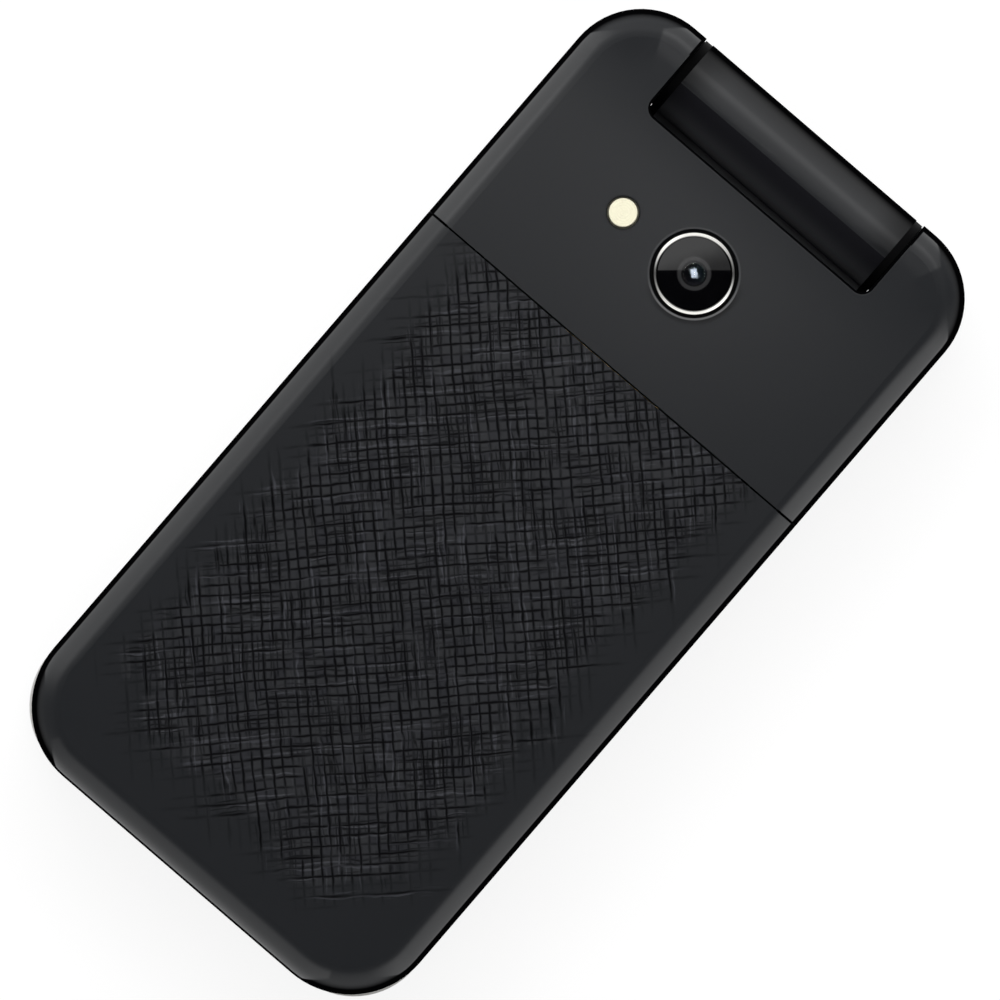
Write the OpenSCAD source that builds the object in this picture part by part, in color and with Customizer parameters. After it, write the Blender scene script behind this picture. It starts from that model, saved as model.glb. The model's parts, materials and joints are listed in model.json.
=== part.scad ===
// Closed flip phone lying on its display half, keypad half on top with its camera side up.
// Origin: centre of the footprint, on the surface it lies on. +Y runs to the hinge, +Z up.

/* [Overall] */
// Width of the phone
phone_w = 55; // [52:0.5:58]
// Length of the closed phone
phone_l = 111.5; // [110:0.5:116]
// Thickness of the display half
lid_t = 6.8; // [6.8:0.1:7.0]
// Gap between the closed halves
gap_t = 0.7; // [0.7:0.05:0.8]
// Thickness of the keypad half
base_t = 10.3; // [10.3:0.1:10.6]
// Wall thickness of the housings
wall = 1.3; // [1.2:0.05:1.4]

/* [Outline] */
// Corner radius of the keypad half at its free end
base_corner_r = 10.4; // [10:0.1:11]
// Corner radius of the keypad half at the hinge end
shoulder_corner_r = 9.4; // [9:0.1:10.4]
// Corner radius of the display half at its free end
lid_corner_r = 9; // [8.4:0.1:9.4]
// Radius of the rolled edge round the back
back_edge_r = 3.2; // [2.8:0.1:3.4]
// Radius of the rolled edge round the front
front_edge_r = 2.4; // [2:0.1:2.4]

/* [Hinge] */
// Diameter of the hinge barrel
barrel_d = 9.9; // [9.7:0.1:10]
// Length of the hinge barrel
barrel_l = 30.6; // [29:0.1:31]
// Clear space at each end of the barrel
barrel_end_gap = 1.05; // [0.6:0.05:1.2]
// Depth of the notch that the barrel turns in
notch_d = 10.7; // [10.5:0.1:11.2]
// Height of the hinge axis above the surface
axis_z = 9.2; // [9.1:0.05:9.3]

/* [Back] */
// Distance from the hinge end to the battery cover's seam
seam_d = 35.4; // [34:0.1:37]
// Distance from the hinge end to the camera's centre
camera_d = 21.25; // [20.5:0.05:22]
// Radius of the camera opening
camera_r = 5; // [4.95:0.05:5.3]
// Offset of the flash from the centre line
flash_x = -10.66; // [-12:0.02:-10]
// Radius of the flash window
flash_r = 1.65; // [1.5:0.05:2]

/* [Keys] */
// Width of a number key
key_w = 15.4; // [14:0.1:15.6]
// Height of a number key
key_h = 11.4; // [10:0.1:11.6]
// Distance between number keys across the phone
key_pitch_x = 16.6; // [16.4:0.1:16.6]
// Distance between number keys along the phone
key_pitch_y = 13.2; // [12.8:0.1:13.3]
// How far a key stands out of its deck
key_proud = 0.45; // [0.3:0.05:0.45]

/* [Hidden] */
$fn = 48;

charcoal = [0.2, 0.2, 0.21];
black = [0.06, 0.06, 0.07];
bright = [0.85, 0.85, 0.82];
board_green = [0.05, 0.2, 0.12];
cream = [0.95, 0.93, 0.8];

end_y = phone_l / 2;
barrel_r = barrel_d / 2;
axis_y = end_y - barrel_r;
notch_y = end_y - notch_d;
notch_hw = barrel_l / 2 + barrel_end_gap;
seam_y = end_y - seam_d;
camera_y = end_y - camera_d;
deck_z = lid_t + gap_t;
back_z = deck_z + base_t;
part_z = axis_z;
play = 0.06;

// Display half: heights of its layers
cover_floor = 1.2;
trim_z0 = 4.7;
trim_z1 = lid_t - 0.1;
bezel_z0 = trim_z0;
bezel_inset = wall + play;
bezel_rim = 1.0;
bezel_face = 1.1;
bezel_in_z = lid_t - bezel_face;
lid_end_y = notch_y - 0.05;
lid_front_y = -end_y + 0.3;
lid_end_r = 3;
lid_step = 0.2;
boss_r = 1.7;
thread_r = 0.72;
shank_hole_r = 0.85;
lid_screw_at = [[23.4, 40.8], [-23.4, 40.8], [23.4, -48], [-23.4, -48]];
lid_screw_head_z = 5.2;
screw_head_r = 1.3;
screw_head_t = 0.9;
screw_cross = [1.7, 0.32, 0.35];
bumper_r = 1.6;
bumper_z0 = 6.3;
window_y = -6;
window_size = [49.8, 71.8];
window_r = 2.5;
window_ledge_z = 6.0;
display_size = [46, 66];
display_r = 1;
outer_window_y = 14;
outer_window_size = [36, 46];
outer_window_r = 3;
outer_window_t = 0.75;
outer_window_sunk = 0.1;
outer_view_size = [31, 39];
outer_display_size = [33, 42];
outer_display_z = cover_floor + 0.05;
outer_display_t = 1.4;
fit = 0.1;
lid_board_size = [42, 82];
lid_board_y = -3;
lid_board_z = outer_display_z + outer_display_t;
lid_board_t = 0.6;
flex_z = lid_board_z + lid_board_t;
receiver_y = -48.6;
receiver_size = [14, 6.4, 2.2];
receiver_slot = [11.4, 1.6];
magnet_x = 15.5;
magnet_r = 2;
magnet_t = 1.2;

// Neck and barrel, which the lid's two shells and the hinge caps share
neck_arc_r = 5.4;
cap_gap = 0.1;
cap_inset = 0.1;
cap_end_x = notch_hw - cap_gap;
cap_bore_r = 2.85;
cap_spigot_r = 4.65;
cap_spigot_l = 0.45;
bore_r = 3.65;
share_offset = 0.75;
flex_slot_x = [-1, 8];

// Keypad half: heights of its layers
deck_t = 1.2;
deck_edge_r = 0.8;
cover_z = 13.4;
rim_z = 14.6;
floor_z = 11.7;
floor_t = 0.8;
board_z = 10.2;
board_t = 1.0;
part_top_z = board_z + board_t;
dome_t = 0.18;
dome_z = board_z - dome_t;
roof_z = back_z - wall;
key_travel = 0.4;
key_gap = 0.2;
key_corner_r = 3;
key_edge_r = 0.4;
post_r = 1.5;
flange_z = deck_z + deck_t + 0.05;
flange_t = 0.4;
base_screw_at = [[22, 14], [-22, 14], [21.5, -45], [-21.5, -45]];
nav_y = 27.5;
nav_r = 10.2;
nav_pad_z = 9.5;
nav_pad_r = [5.35, 7.5];
ok_r = 4.65;
first_row_y = 6;
mic_at = [9, -47.4];
mic_hole_r = 0.5;
mic_size = [3.4, 2.6];
battery_size = [38, 50, 3.9];
battery_y = -8;
contact_x = [-4.5, 0, 4.5];
tongue_x = 22.6;
tongue_w = 3.8;
bay_hw = 19.3;
bay_wall = 1.0;
bay_top_z = 16.3;
end_parts_y = -43.6;
platform_y = -34.2;
platform_end_y = -53;
platform_w = 50;
platform_r = 9.4;
platform_wall = 1;
platform_top_z = 15.5;
platform_roof_t = 0.8;
seam_gap = 0.2;
rim_in = wall + 0.3;
rim_w = 1;
rim_base_t = 1.3;
groove_z = 13.7;
groove_size = [0.8, 0.5];
rib_size = [0.7, 0.34];
rib_y0 = -40;
notch_corner_r = 1.3;
notch_chamfer = 0.3;
flash_gap = 0.2;
camera_chamfer = 0.12;
camera_ring_r = [4.24, 4.74];
camera_seat_z = back_z - 0.28;
camera_glass_r = 4.2;
camera_flange_w = 0.8;
lens_ring_r = [1.26, 1.77];
lens_ball_r = 1.4;
usb_z = 11.0;
usb_y = [-54.5, -47.9];
usb_size = [9, 3.2];
speaker_hole_r = 0.5;
speaker_hole_pitch = 1.8;
speaker_x = 11;
board_y = [-52, 43];
board_w = 49.2;
board_hole_r = boss_r + 0.4;
socket_cut_w = usb_size[0] + 0.4;
dome_sheet_size = [46.6, 82];
volume_y = 31;
volume_l = 13.4;
volume_h = 1.8;
volume_flange = [0.5, 0.9];
knuckle_bore_r = 2.6;
knuckle_bore_x = 23.5;
shaft_r = knuckle_bore_r - 0.05;

// ---------- shapes that repeat ----------

// Quarter of a disc in the corner that [sx, sy] points to
module quarter2d(r, sx, sy) {
    intersection() {
        circle(r);
        translate([sx * r / 2, sy * r / 2]) square(r, center = true);
    }
}

// Rounded rectangle from y0 to y1, with its own corner radius at each end
module outline2d(w, y0, y1, r0, r1) {
    translate([-w / 2, y0 + r0]) square([w, y1 - y0 - r0 - r1]);
    translate([-w / 2 + r0, y0]) square([w - 2 * r0, r0]);
    translate([-w / 2 + r1, y1 - r1]) square([w - 2 * r1, r1]);
    for (s = [-1, 1]) {
        translate([s * (w / 2 - r0), y0 + r0]) quarter2d(r0, s, -1);
        translate([s * (w / 2 - r1), y1 - r1]) quarter2d(r1, s, 1);
    }
}

module plate(w, l, r, t) {
    linear_extrude(t) outline2d(w, -l / 2, l / 2, r, r);
}

// Edge section of reach r and height t, its upper outer corner rolled to radius e
module edge2d(r, t, e) {
    square([r - e, t]);
    translate([r - e, 0]) square([e, t - e]);
    translate([r - e, t - e]) quarter2d(e, 1, 1);
}

// Slab with a rolled upper edge all round
module slab(w, y0, y1, r0, r1, t, e) {
    translate([-w / 2 + e, y0 + r0, 0]) cube([w - 2 * e, y1 - y0 - r0 - r1, t]);
    for (s = [0, 1]) mirror([s, 0, 0]) {
        translate([w / 2 - e, y1 - r1, 0]) rotate([90, 0, 0])
            linear_extrude(y1 - y0 - r0 - r1) edge2d(e + 0.0001, t, e);
        translate([w / 2 - r0, y0 + r0, 0]) rotate([0, 0, -90])
            rotate_extrude(angle = 90) edge2d(r0, t, e);
        translate([w / 2 - r1, y1 - r1, 0]) rotate_extrude(angle = 90) edge2d(r1, t, e);
    }
    translate([-w / 2 + r0, y0 + r0, 0]) rotate([90, 0, 90]) mirror([1, 0, 0])
        linear_extrude(w - 2 * r0) edge2d(r0, t, e);
    translate([-w / 2 + r1, y1 - r1, 0]) rotate([90, 0, 90])
        linear_extrude(w - 2 * r1) edge2d(r1, t, e);
}

// Cylinder along the hinge axis from x0 to x1
module on_axis(r, x0, x1) {
    translate([x0, axis_y, axis_z]) rotate([0, 90, 0]) cylinder(r = r, h = x1 - x0);
}

module ring(r_out, r_in, h) {
    difference() {
        cylinder(r = r_out, h = h);
        translate([0, 0, -1]) cylinder(r = r_in, h = h + 2);
    }
}

module disc_at(p, r, z0, z1) {
    translate([p[0], p[1], z0]) cylinder(r = r, h = z1 - z0);
}

// ---------- display half ----------

// Slab from z0 to z1 with its rolled edge below, drawn in all round by inset
module lid_slab(inset, z0, z1) {
    translate([0, 0, z1]) mirror([0, 0, 1]) slab(
        phone_w - 2 * inset, lid_front_y + inset, lid_end_y - inset,
        lid_corner_r - inset, lid_end_r - 0.6 * inset, z1 - z0, max(front_edge_r - inset, 1));
}

// Side view of the neck and barrel, drawn in by inset: x is the phone's Y, y is its Z
module neck2d(inset = 0) {
    translate([axis_y, axis_z]) circle(barrel_r - inset);
    translate([notch_y - 3, inset]) square([end_y - neck_arc_r - notch_y + 3, lid_t - inset]);
    translate([end_y - neck_arc_r, neck_arc_r]) {
        quarter2d(neck_arc_r - inset, 1, -1);
        square([neck_arc_r - inset, axis_z - neck_arc_r]);
    }
}

// The part of the neck and barrel that belongs to the inner bezel
module bezel_share2d(c) {
    lean = asin(share_offset / barrel_r);
    far = 12;
    polygon([
        [axis_y, axis_z], [axis_y - far * sin(lean), axis_z + far * cos(lean)],
        [notch_y - far, axis_z + far], [notch_y - far, bezel_z0 - c],
        [axis_y - 2.8, bezel_z0 - c]
    ]);
}

// Side view carried across the phone from x0 to x1
module across(x0, x1) {
    translate([x0, 0, 0]) rotate([90, 0, 90]) linear_extrude(x1 - x0) children();
}

// Way of the flex cable through the neck into the barrel
module flex_way() {
    across(flex_slot_x[0], flex_slot_x[1]) {
        translate([notch_y - 4, flex_z - 0.2]) square([axis_y - notch_y + 4, 1]);
        translate([axis_y - 1.2, flex_z - 0.2]) square([1.2, 3]);
    }
}

module lid_outer_cover() {
    color(charcoal) difference() {
        union() {
            difference() {
                lid_slab(lid_step, 0, trim_z0 - play);
                lid_slab(wall + lid_step, cover_floor, lid_t);
            }
            across(-barrel_l / 2, barrel_l / 2) difference() {
                neck2d();
                bezel_share2d(play);
                translate([notch_y - 4, cover_floor]) square([4.6, 8]);
                translate([notch_y, cover_floor]) square([4.2, 1.2]);
            }
            for (p = lid_screw_at)
                disc_at(p, boss_r, cover_floor - 0.2, bezel_z0 - play);
        }
        on_axis(bore_r, -barrel_l, barrel_l);
        flex_way();
        for (p = lid_screw_at) disc_at(p, thread_r, cover_floor, lid_t);
        translate([0, outer_window_y, -1]) plate(
            outer_window_size[0] + 2 * fit, outer_window_size[1] + 2 * fit,
            outer_window_r + fit, 1 + outer_window_sunk + outer_window_t);
        translate([0, outer_window_y, 0])
            plate(outer_view_size[0], outer_view_size[1], 2, 2 * cover_floor);
    }
}

module outer_window() {
    color(black) translate([0, outer_window_y, outer_window_sunk])
        plate(outer_window_size[0], outer_window_size[1], outer_window_r, outer_window_t);
}

module outer_display() {
    color("dimgray") translate([0, outer_window_y, outer_display_z])
        plate(outer_display_size[0], outer_display_size[1], display_r, outer_display_t);
}

module lid_trim() {
    color(bright) difference() {
        translate([0, 0, trim_z0]) linear_extrude(trim_z1 - trim_z0) difference() {
            outline2d(phone_w, lid_front_y, lid_end_y, lid_corner_r, lid_end_r);
            outline2d(phone_w - 2 * wall, lid_front_y + wall, lid_end_y - wall,
                lid_corner_r - wall, 2);
        }
        translate([-barrel_l / 2 - 0.2, lid_end_y - 5, 0]) cube([barrel_l + 0.4, 9, 9]);
    }
}

module lid_inner_bezel() {
    color(black) difference() {
        union() {
            translate([0, 0, bezel_z0]) slab(phone_w - 2 * bezel_inset,
                lid_front_y + bezel_inset, lid_end_y - bezel_inset, lid_corner_r - bezel_inset,
                2, lid_t - bezel_z0, 0.3);
            across(-barrel_l / 2, barrel_l / 2) intersection() {
                neck2d();
                bezel_share2d(0);
            }
        }
        difference() {
            linear_extrude(bezel_in_z) outline2d(phone_w - 2 * bezel_inset - 2 * bezel_rim,
                lid_front_y + bezel_inset + bezel_rim, lid_end_y - bezel_inset - bezel_rim,
                lid_corner_r - bezel_inset - bezel_rim, 1);
            for (p = lid_screw_at) disc_at(p, boss_r + 4 * fit, 0, lid_t);
        }
        on_axis(bore_r, -barrel_l, barrel_l);
        flex_way();
        translate([0, window_y, window_ledge_z])
            plate(window_size[0] + 2 * fit, window_size[1] + 2 * fit, window_r + fit, 3);
        translate([0, window_y, 0]) plate(display_size[0] + 4 * fit,
            display_size[1] + 4 * fit, display_r + 2 * fit, 9);
        translate([0, receiver_y, 0])
            plate(receiver_slot[0], receiver_slot[1], receiver_slot[1] / 2 - 0.01, 9);
        for (p = lid_screw_at) {
            disc_at(p, shank_hole_r, 0, 9);
            disc_at(p, boss_r, lid_screw_head_z, 9);
        }
    }
}

module display_window() {
    color(black) translate([0, window_y, window_ledge_z])
        plate(window_size[0], window_size[1], window_r, lid_t - fit - window_ledge_z);
}

module main_display() {
    color("dimgray") translate([0, window_y, flex_z])
        plate(display_size[0], display_size[1], display_r, window_ledge_z - flex_z);
}

module lid_board() {
    color(board_green) translate([0, lid_board_y, lid_board_z])
        plate(lid_board_size[0], lid_board_size[1], 2, lid_board_t);
}

module receiver() {
    color("silver") translate([0, receiver_y, bezel_in_z - receiver_size[2]])
        plate(receiver_size[0], receiver_size[1], 2, receiver_size[2]);
}

module receiver_mesh() {
    size = receiver_slot - 2 * [fit, fit];
    color("gray") translate([0, receiver_y, bezel_in_z])
        plate(size[0], size[1], size[1] / 2 - 0.01, 0.7);
}

module lid_bumpers() {
    color(black) for (p = lid_screw_at) disc_at(p, bumper_r, bumper_z0, deck_z - fit);
}

// Cross-head screw, its head standing on z_head and its tip at z_tip
module screw(p, z_head, z_tip) {
    translate([p[0], p[1], z_head]) difference() {
        cylinder(r = screw_head_r, h = screw_head_t);
        for (a = [0, 90]) rotate([0, 0, a])
            translate([-screw_cross[0] / 2, -screw_cross[1] / 2, screw_head_t - screw_cross[2]])
                cube([screw_cross[0], screw_cross[1], 1]);
    }
    disc_at(p, thread_r - 0.04, z_tip, z_head);
}

module lid_screws() {
    color("silver") for (p = lid_screw_at) screw(p, lid_screw_head_z, cover_floor + 0.4);
}

module lid_magnet() {
    color("silver")
        disc_at([magnet_x, receiver_y], magnet_r, bezel_in_z - magnet_t, bezel_in_z);
}

// ---------- hinge ----------

// Black caps that close the barrel's ends, each with a spigot that turns in its knuckle
module hinge_caps() {
    color(black) for (s = [0, 1]) mirror([s, 0, 0]) difference() {
        union() {
            across(barrel_l / 2, cap_end_x) intersection() {
                neck2d(cap_inset);
                translate([lid_end_y + play, 0]) square(20);
            }
            on_axis(cap_spigot_r, barrel_l / 2, cap_end_x + cap_spigot_l);
        }
        on_axis(cap_bore_r, 0, notch_hw + 1);
    }
}

module hinge_can() {
    color("silver") difference() {
        on_axis(bore_r - 0.05, -barrel_l / 2 + 0.1, can_end_x);
        on_axis(can_bore_r, -barrel_l / 2, can_end_x - can_end_t);
    }
}

spring_wire_r = 0.35;
spring_coil_r = 2.1;
spring_turns = 6;
spring_x0 = -10.0;
spring_x1 = -3.0;
spring_sides = 6;
spring_steps = 16;

// Point on the spring's centreline, t from 0 to 1
function spring_at(t) = [
    spring_x0 + (spring_x1 - spring_x0) * t,
    axis_y + spring_coil_r * cos(360 * spring_turns * t),
    axis_z + spring_coil_r * sin(360 * spring_turns * t)
];

// Section i of the wire, in the plane of the hinge axis and the coil's radius
function spring_ring(t) = [
    for (k = [0 : spring_sides - 1])
        let (a = 360 * k / spring_sides, turn = 360 * spring_turns * t, c = spring_at(t))
        [
            c[0] + spring_wire_r * sin(a),
            c[1] + spring_wire_r * cos(a) * cos(turn),
            c[2] + spring_wire_r * cos(a) * sin(turn)
        ]
];

spring_least_gap = (spring_x1 - spring_x0) / spring_turns - 2 * spring_wire_r;
echo(spring_least_gap = spring_least_gap);

module hinge_spring() {
    n = spring_turns * spring_steps;
    points = [for (i = [0 : n]) each spring_ring(i / n)];
    sides = [
        for (i = [0 : n - 1]) for (k = [0 : spring_sides - 1])
            let (
                a = i * spring_sides + k,
                b = i * spring_sides + (k + 1) % spring_sides,
                c = a + spring_sides,
                d = b + spring_sides
            )
            each [[a, b, d], [a, d, c]]
    ];
    first = [for (k = [1 : spring_sides - 2]) [0, k + 1, k]];
    last_at = n * spring_sides;
    last = [for (k = [1 : spring_sides - 2]) [last_at, last_at + k, last_at + k + 1]];
    color("silver") polyhedron(points, concat(sides, first, last));
}

cam_x = -10.4;
can_bore_r = 2.8;
can_end_x = -2;
can_end_t = 0.6;
pin_r = 1.2;
shaft_x = -22.2;
shaft_flat = [3.2, 1.6];
bush_x = [11, 21];
bush_bore_r = 1.6;

// Shaft with its cam: the flat locks it in the keypad half, the cam turns in the can
module hinge_shaft() {
    color("silver") {
        difference() {
            on_axis(shaft_r, shaft_x, -barrel_l / 2 - 0.1);
            translate([shaft_x - 0.8, axis_y - 4, axis_z + shaft_flat[1]])
                cube([shaft_flat[0] + 0.8, 8, 4]);
        }
        on_axis(can_bore_r - play, -barrel_l / 2 - 0.1, cam_x);
        on_axis(pin_r, cam_x, spring_x1);
    }
}

module hinge_bush() {
    color("silver") difference() {
        union() {
            on_axis(bore_r - 0.05, bush_x[0], barrel_l / 2);
            on_axis(shaft_r, barrel_l / 2, bush_x[1]);
        }
        on_axis(bush_bore_r, bush_x[0] - 1, bush_x[1] + 1);
    }
}

flex_t = 0.16;
flex_r0 = 1.7;
flex_r1 = 3.2;
flex_turns = 2.5;
flex_steps = 50;

// Spiral of the rolled flex, seen along the hinge
function flex_spiral(side) = [
    for (i = [0 : flex_steps])
        let (s = i / flex_steps, a = 360 * flex_turns * s + 90,
            r = flex_r0 + (flex_r1 - flex_r0) * s + side * flex_t / 2)
        [r * cos(a), r * sin(a)]
];
function reversed(list) = [for (i = [len(list) - 1 : -1 : 0]) list[i]];

module flex_cable() {
    width = 7;
    color("darkorange") {
        translate([0, axis_y, axis_z]) rotate([90, 0, 90]) linear_extrude(width)
            polygon(concat(flex_spiral(-1), reversed(flex_spiral(1))));
        // Tail along the axis, through the bush into the keypad half
        translate([5, axis_y - flex_t / 2, axis_z - 0.05]) cube([17, flex_t, 1.4]);
        translate([5, axis_y - flex_t / 2, axis_z + 0.6]) cube([2, flex_t, flex_r0 - 0.6]);
        across(0, width) {
            translate([axis_y - flex_t / 2 - 0.3, flex_z])
                square([flex_t, axis_z - flex_r1 - flex_z]);
            translate([30, flex_z]) square([axis_y - 30.3 + flex_t / 2, flex_t]);
        }
    }
}

// ---------- keypad half ----------

module base_slab(inset, z0, edge) {
    translate([0, 0, z0]) slab(phone_w - 2 * inset, -end_y + inset, end_y - inset,
        base_corner_r - inset, shoulder_corner_r - inset, back_z - z0 - inset, edge);
}

// Space round the barrel, grown by c
module notch(c) {
    translate([0, 0, -1]) linear_extrude(30)
        outline2d(2 * notch_hw + 2 * c, notch_y - c, 80, notch_corner_r, notch_corner_r);
}

// Chamfer round the upper edge of the notch
module notch_edge() {
    c = notch_chamfer;
    r = notch_corner_r;
    for (s = [0, 1]) mirror([s, 0, 0]) {
        translate([notch_hw, notch_y + r, back_z]) rotate([-90, 0, 0])
            linear_extrude(40) polygon([[-1, -1], [c + 1, -1], [-1, c + 1]]);
        translate([notch_hw - r, notch_y + r, back_z - c - 0.5])
            cylinder(r1 = r - 0.5, r2 = r + c + 0.5, h = 1 + c);
    }
    translate([-notch_hw + r, notch_y, back_z]) rotate([90, 0, 90])
        linear_extrude(2 * notch_hw - 2 * r) polygon([[1, 1], [-c - 1, 1], [1, -c - 1]]);
}

// Cylinders about the hinge axis at both shoulders, kept inside the outline less inset
module knuckles(r, inset) {
    intersection() {
        linear_extrude(30) outline2d(phone_w - 2 * inset, -end_y, end_y - inset,
            base_corner_r - inset, shoulder_corner_r - inset);
        for (s = [0, 1]) mirror([s, 0, 0]) on_axis(r, notch_hw, phone_w / 2 + 1);
    }
}

module knuckle_bores() {
    for (s = [0, 1]) mirror([s, 0, 0]) {
        on_axis(knuckle_bore_r, notch_hw - 1, knuckle_bore_x);
        on_axis(cap_spigot_r + cap_gap, notch_hw - 1, notch_hw + cap_spigot_l);
    }
}

function number_key_at(i) = [
    key_pitch_x * (1 - i % 3), first_row_y - key_pitch_y * floor(i / 3)
];
function_key_size = [12.2, 10.6];
function_key_at = [[19, 33.4], [-19, 33.4], [19, 21.6], [-19, 21.6]];

module key_openings() {
    for (i = [0 : 11]) translate(concat(number_key_at(i), 0))
        plate(key_w + 2 * key_gap, key_h + 2 * key_gap, key_corner_r + key_gap, 20);
    for (p = function_key_at) translate(concat(p, 0))
        plate(function_key_size[0] + 2 * key_gap, function_key_size[1] + 2 * key_gap,
            key_corner_r + key_gap, 20);
    disc_at([0, nav_y], nav_r + key_gap, 0, 20);
}

module base_front_housing() {
    color(charcoal) difference() {
        union() {
            difference() {
                intersection() {
                    translate([0, 0, part_z]) mirror([0, 0, 1]) slab(phone_w, -end_y, end_y,
                        base_corner_r, shoulder_corner_r, part_z - deck_z, deck_edge_r);
                    translate([-50, -60, 0]) cube([100, 60 + axis_y, 30]);
                }
                difference() {
                    translate([0, 0, deck_z + deck_t]) linear_extrude(20) outline2d(
                        phone_w - 2 * wall, -end_y + wall, notch_y - wall,
                        base_corner_r - wall, 2);
                    for (p = base_screw_at) disc_at(p, boss_r, 0, part_z);
                }
                key_openings();
                disc_at(mic_at, mic_hole_r, 0, 20);
            }
            intersection() {
                knuckles(barrel_r, 0);
                translate([-50, 0, 0]) cube([100, 100, part_z]);
            }
            for (p = base_screw_at) disc_at(p, boss_r, deck_z + 0.4, floor_z - 0.05);
        }
        notch(0);
        knuckle_bores();
        for (p = base_screw_at) disc_at(p, thread_r, deck_z + 0.8, 20);
    }
}

// Everything of the back that lies on the battery cover's side of the seam
module cover_side(z0, c) {
    translate([-50, -80, z0]) cube([100, 80 + seam_y + c, 30]);
}

module rear_side_walls() {
    difference() {
        linear_extrude(cover_z - play) outline2d(
            phone_w, -end_y, seam_y + 4, base_corner_r, 1);
        translate([0, 0, -1]) linear_extrude(40) outline2d(
            phone_w - 2 * wall, -end_y + wall, seam_y + 9, base_corner_r - wall, 1);
        translate([-50, -80, -1]) cube([100, 200, part_z + play + 1]);
        translate([-50, seam_y, -1]) cube([100, 80, 40]);
    }
}

// Rim that the cover's skirt laps over, with the groove that its ribs run in
module rear_rim() {
    inner = rim_in + rim_w;
    difference() {
        linear_extrude(rim_z) outline2d(phone_w - 2 * rim_in, -end_y + rim_in, seam_y + 4,
            base_corner_r - rim_in, 1);
        translate([0, 0, -1]) linear_extrude(40) outline2d(
            phone_w - 2 * inner, -end_y + inner, seam_y + 9, base_corner_r - inner, 1);
        translate([-50, -80, -1]) cube([100, 200, cover_z - 0.5]);
        translate([-50, seam_y, -1]) cube([100, 80, 40]);
        for (s = [-1, 1])
            translate([s * (phone_w / 2 - rim_in) - groove_size[0] / 2, -90, groove_z])
                cube([groove_size[0], 200, groove_size[1]]);
    }
    difference() {
        translate([0, 0, cover_z - rim_base_t]) linear_extrude(rim_base_t - play) outline2d(
            phone_w - 1, -end_y + 0.5, seam_y + 4, base_corner_r - 0.5, 1);
        translate([0, 0, -1]) linear_extrude(40) outline2d(
            phone_w - 2 * inner, -end_y + inner, seam_y + 9, base_corner_r - inner, 1);
        translate([-50, seam_y, -1]) cube([100, 80, 40]);
    }
}

module battery_bay() {
    outer_hw = bay_hw + bay_wall;
    bay_end = battery_y - battery_size[1] / 2 - 0.2;
    translate([-phone_w / 2 + 1, platform_y, floor_z])
        cube([phone_w - 2, seam_y - platform_y + 1, floor_t]);
    for (s = [-1, 1]) translate([s * (bay_hw + bay_wall / 2) - bay_wall / 2, platform_y, floor_z])
        cube([bay_wall, seam_y - platform_y + 1, bay_top_z - floor_z]);
    translate([-outer_hw, platform_y, floor_z])
        cube([2 * outer_hw, bay_end - platform_y, bay_top_z - floor_z]);
    // Bulkhead between the battery bay and the camera's compartment
    translate([-phone_w / 2 + 1, seam_y + 0.05, floor_z])
        cube([phone_w - 2, wall, platform_top_z - floor_z]);
}

// Outline of the raised roof over the loudspeaker and aerial at the free end
module platform2d(inset, y1) {
    outline2d(platform_w - 2 * inset, platform_end_y + inset, y1, platform_r - inset, 0.5);
}

module end_platform() {
    difference() {
        translate([0, 0, floor_z]) linear_extrude(platform_top_z - floor_z)
            platform2d(0, platform_y + platform_roof_t);
        translate([0, 0, floor_z - 1])
            linear_extrude(platform_top_z - platform_roof_t - floor_z + 1)
                platform2d(platform_wall, platform_y);
    }
    translate([0, 0, floor_z]) linear_extrude(floor_t) difference() {
        outline2d(phone_w - 2, -end_y + 1, platform_y + 1, base_corner_r - 1, 0.5);
        platform2d(platform_wall, platform_y);
    }
}

// Slot of the volume key in the side wall
module volume_opening() {
    translate([phone_w / 2 - 4, volume_y - volume_l / 2 - 0.3, usb_z - volume_h / 2 - key_gap])
        cube([5, volume_l + 0.6, volume_h + 2 * key_gap]);
}

// Section of the charging socket, drawn in by inset
module socket2d(inset) {
    w = usb_size[0] - 2 * inset;
    h = usb_size[1] - 2 * inset;
    outline2d(w, -h / 2, h / 2, h / 2 - 0.05, h / 2 - 0.05);
}

module base_rear_housing() {
    color(charcoal) difference() {
        union() {
            difference() {
                base_slab(0, part_z + play, back_edge_r);
                difference() {
                    base_slab(wall, part_z - 2, back_edge_r - wall);
                    notch(wall);
                }
                cover_side(0, 0);
            }
            rear_side_walls();
            rear_rim();
            battery_bay();
            end_platform();
            difference() {
                knuckles(3.9, 0.4);
                translate([-50, 0, part_z + play - 20]) cube([100, 90, 20]);
            }
        }
        notch(0);
        notch_edge();
        knuckle_bores();
        volume_opening();
        disc_at([0, camera_y], camera_r, 14, 30);
        translate([0, camera_y, back_z - camera_chamfer])
            cylinder(r1 = camera_r, r2 = camera_r + camera_chamfer + 0.02,
                h = camera_chamfer + 0.02);
        disc_at([flash_x, camera_y], flash_r + flash_gap, 14, 30);
        for (p = base_screw_at) disc_at(p, shank_hole_r, 0, 20);
        for (p = [base_screw_at[2], base_screw_at[3]])
            disc_at(p, screw_head_r + 0.3, floor_z + floor_t, 20);
        translate([0, -46, usb_z]) rotate([90, 0, 0]) linear_extrude(20)
            socket2d(-0.2);
        for (i = [0 : 4]) translate([speaker_x + speaker_hole_pitch * i, -50, usb_z])
            rotate([90, 0, 0]) cylinder(r = speaker_hole_r, h = 20);
    }
}

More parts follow.
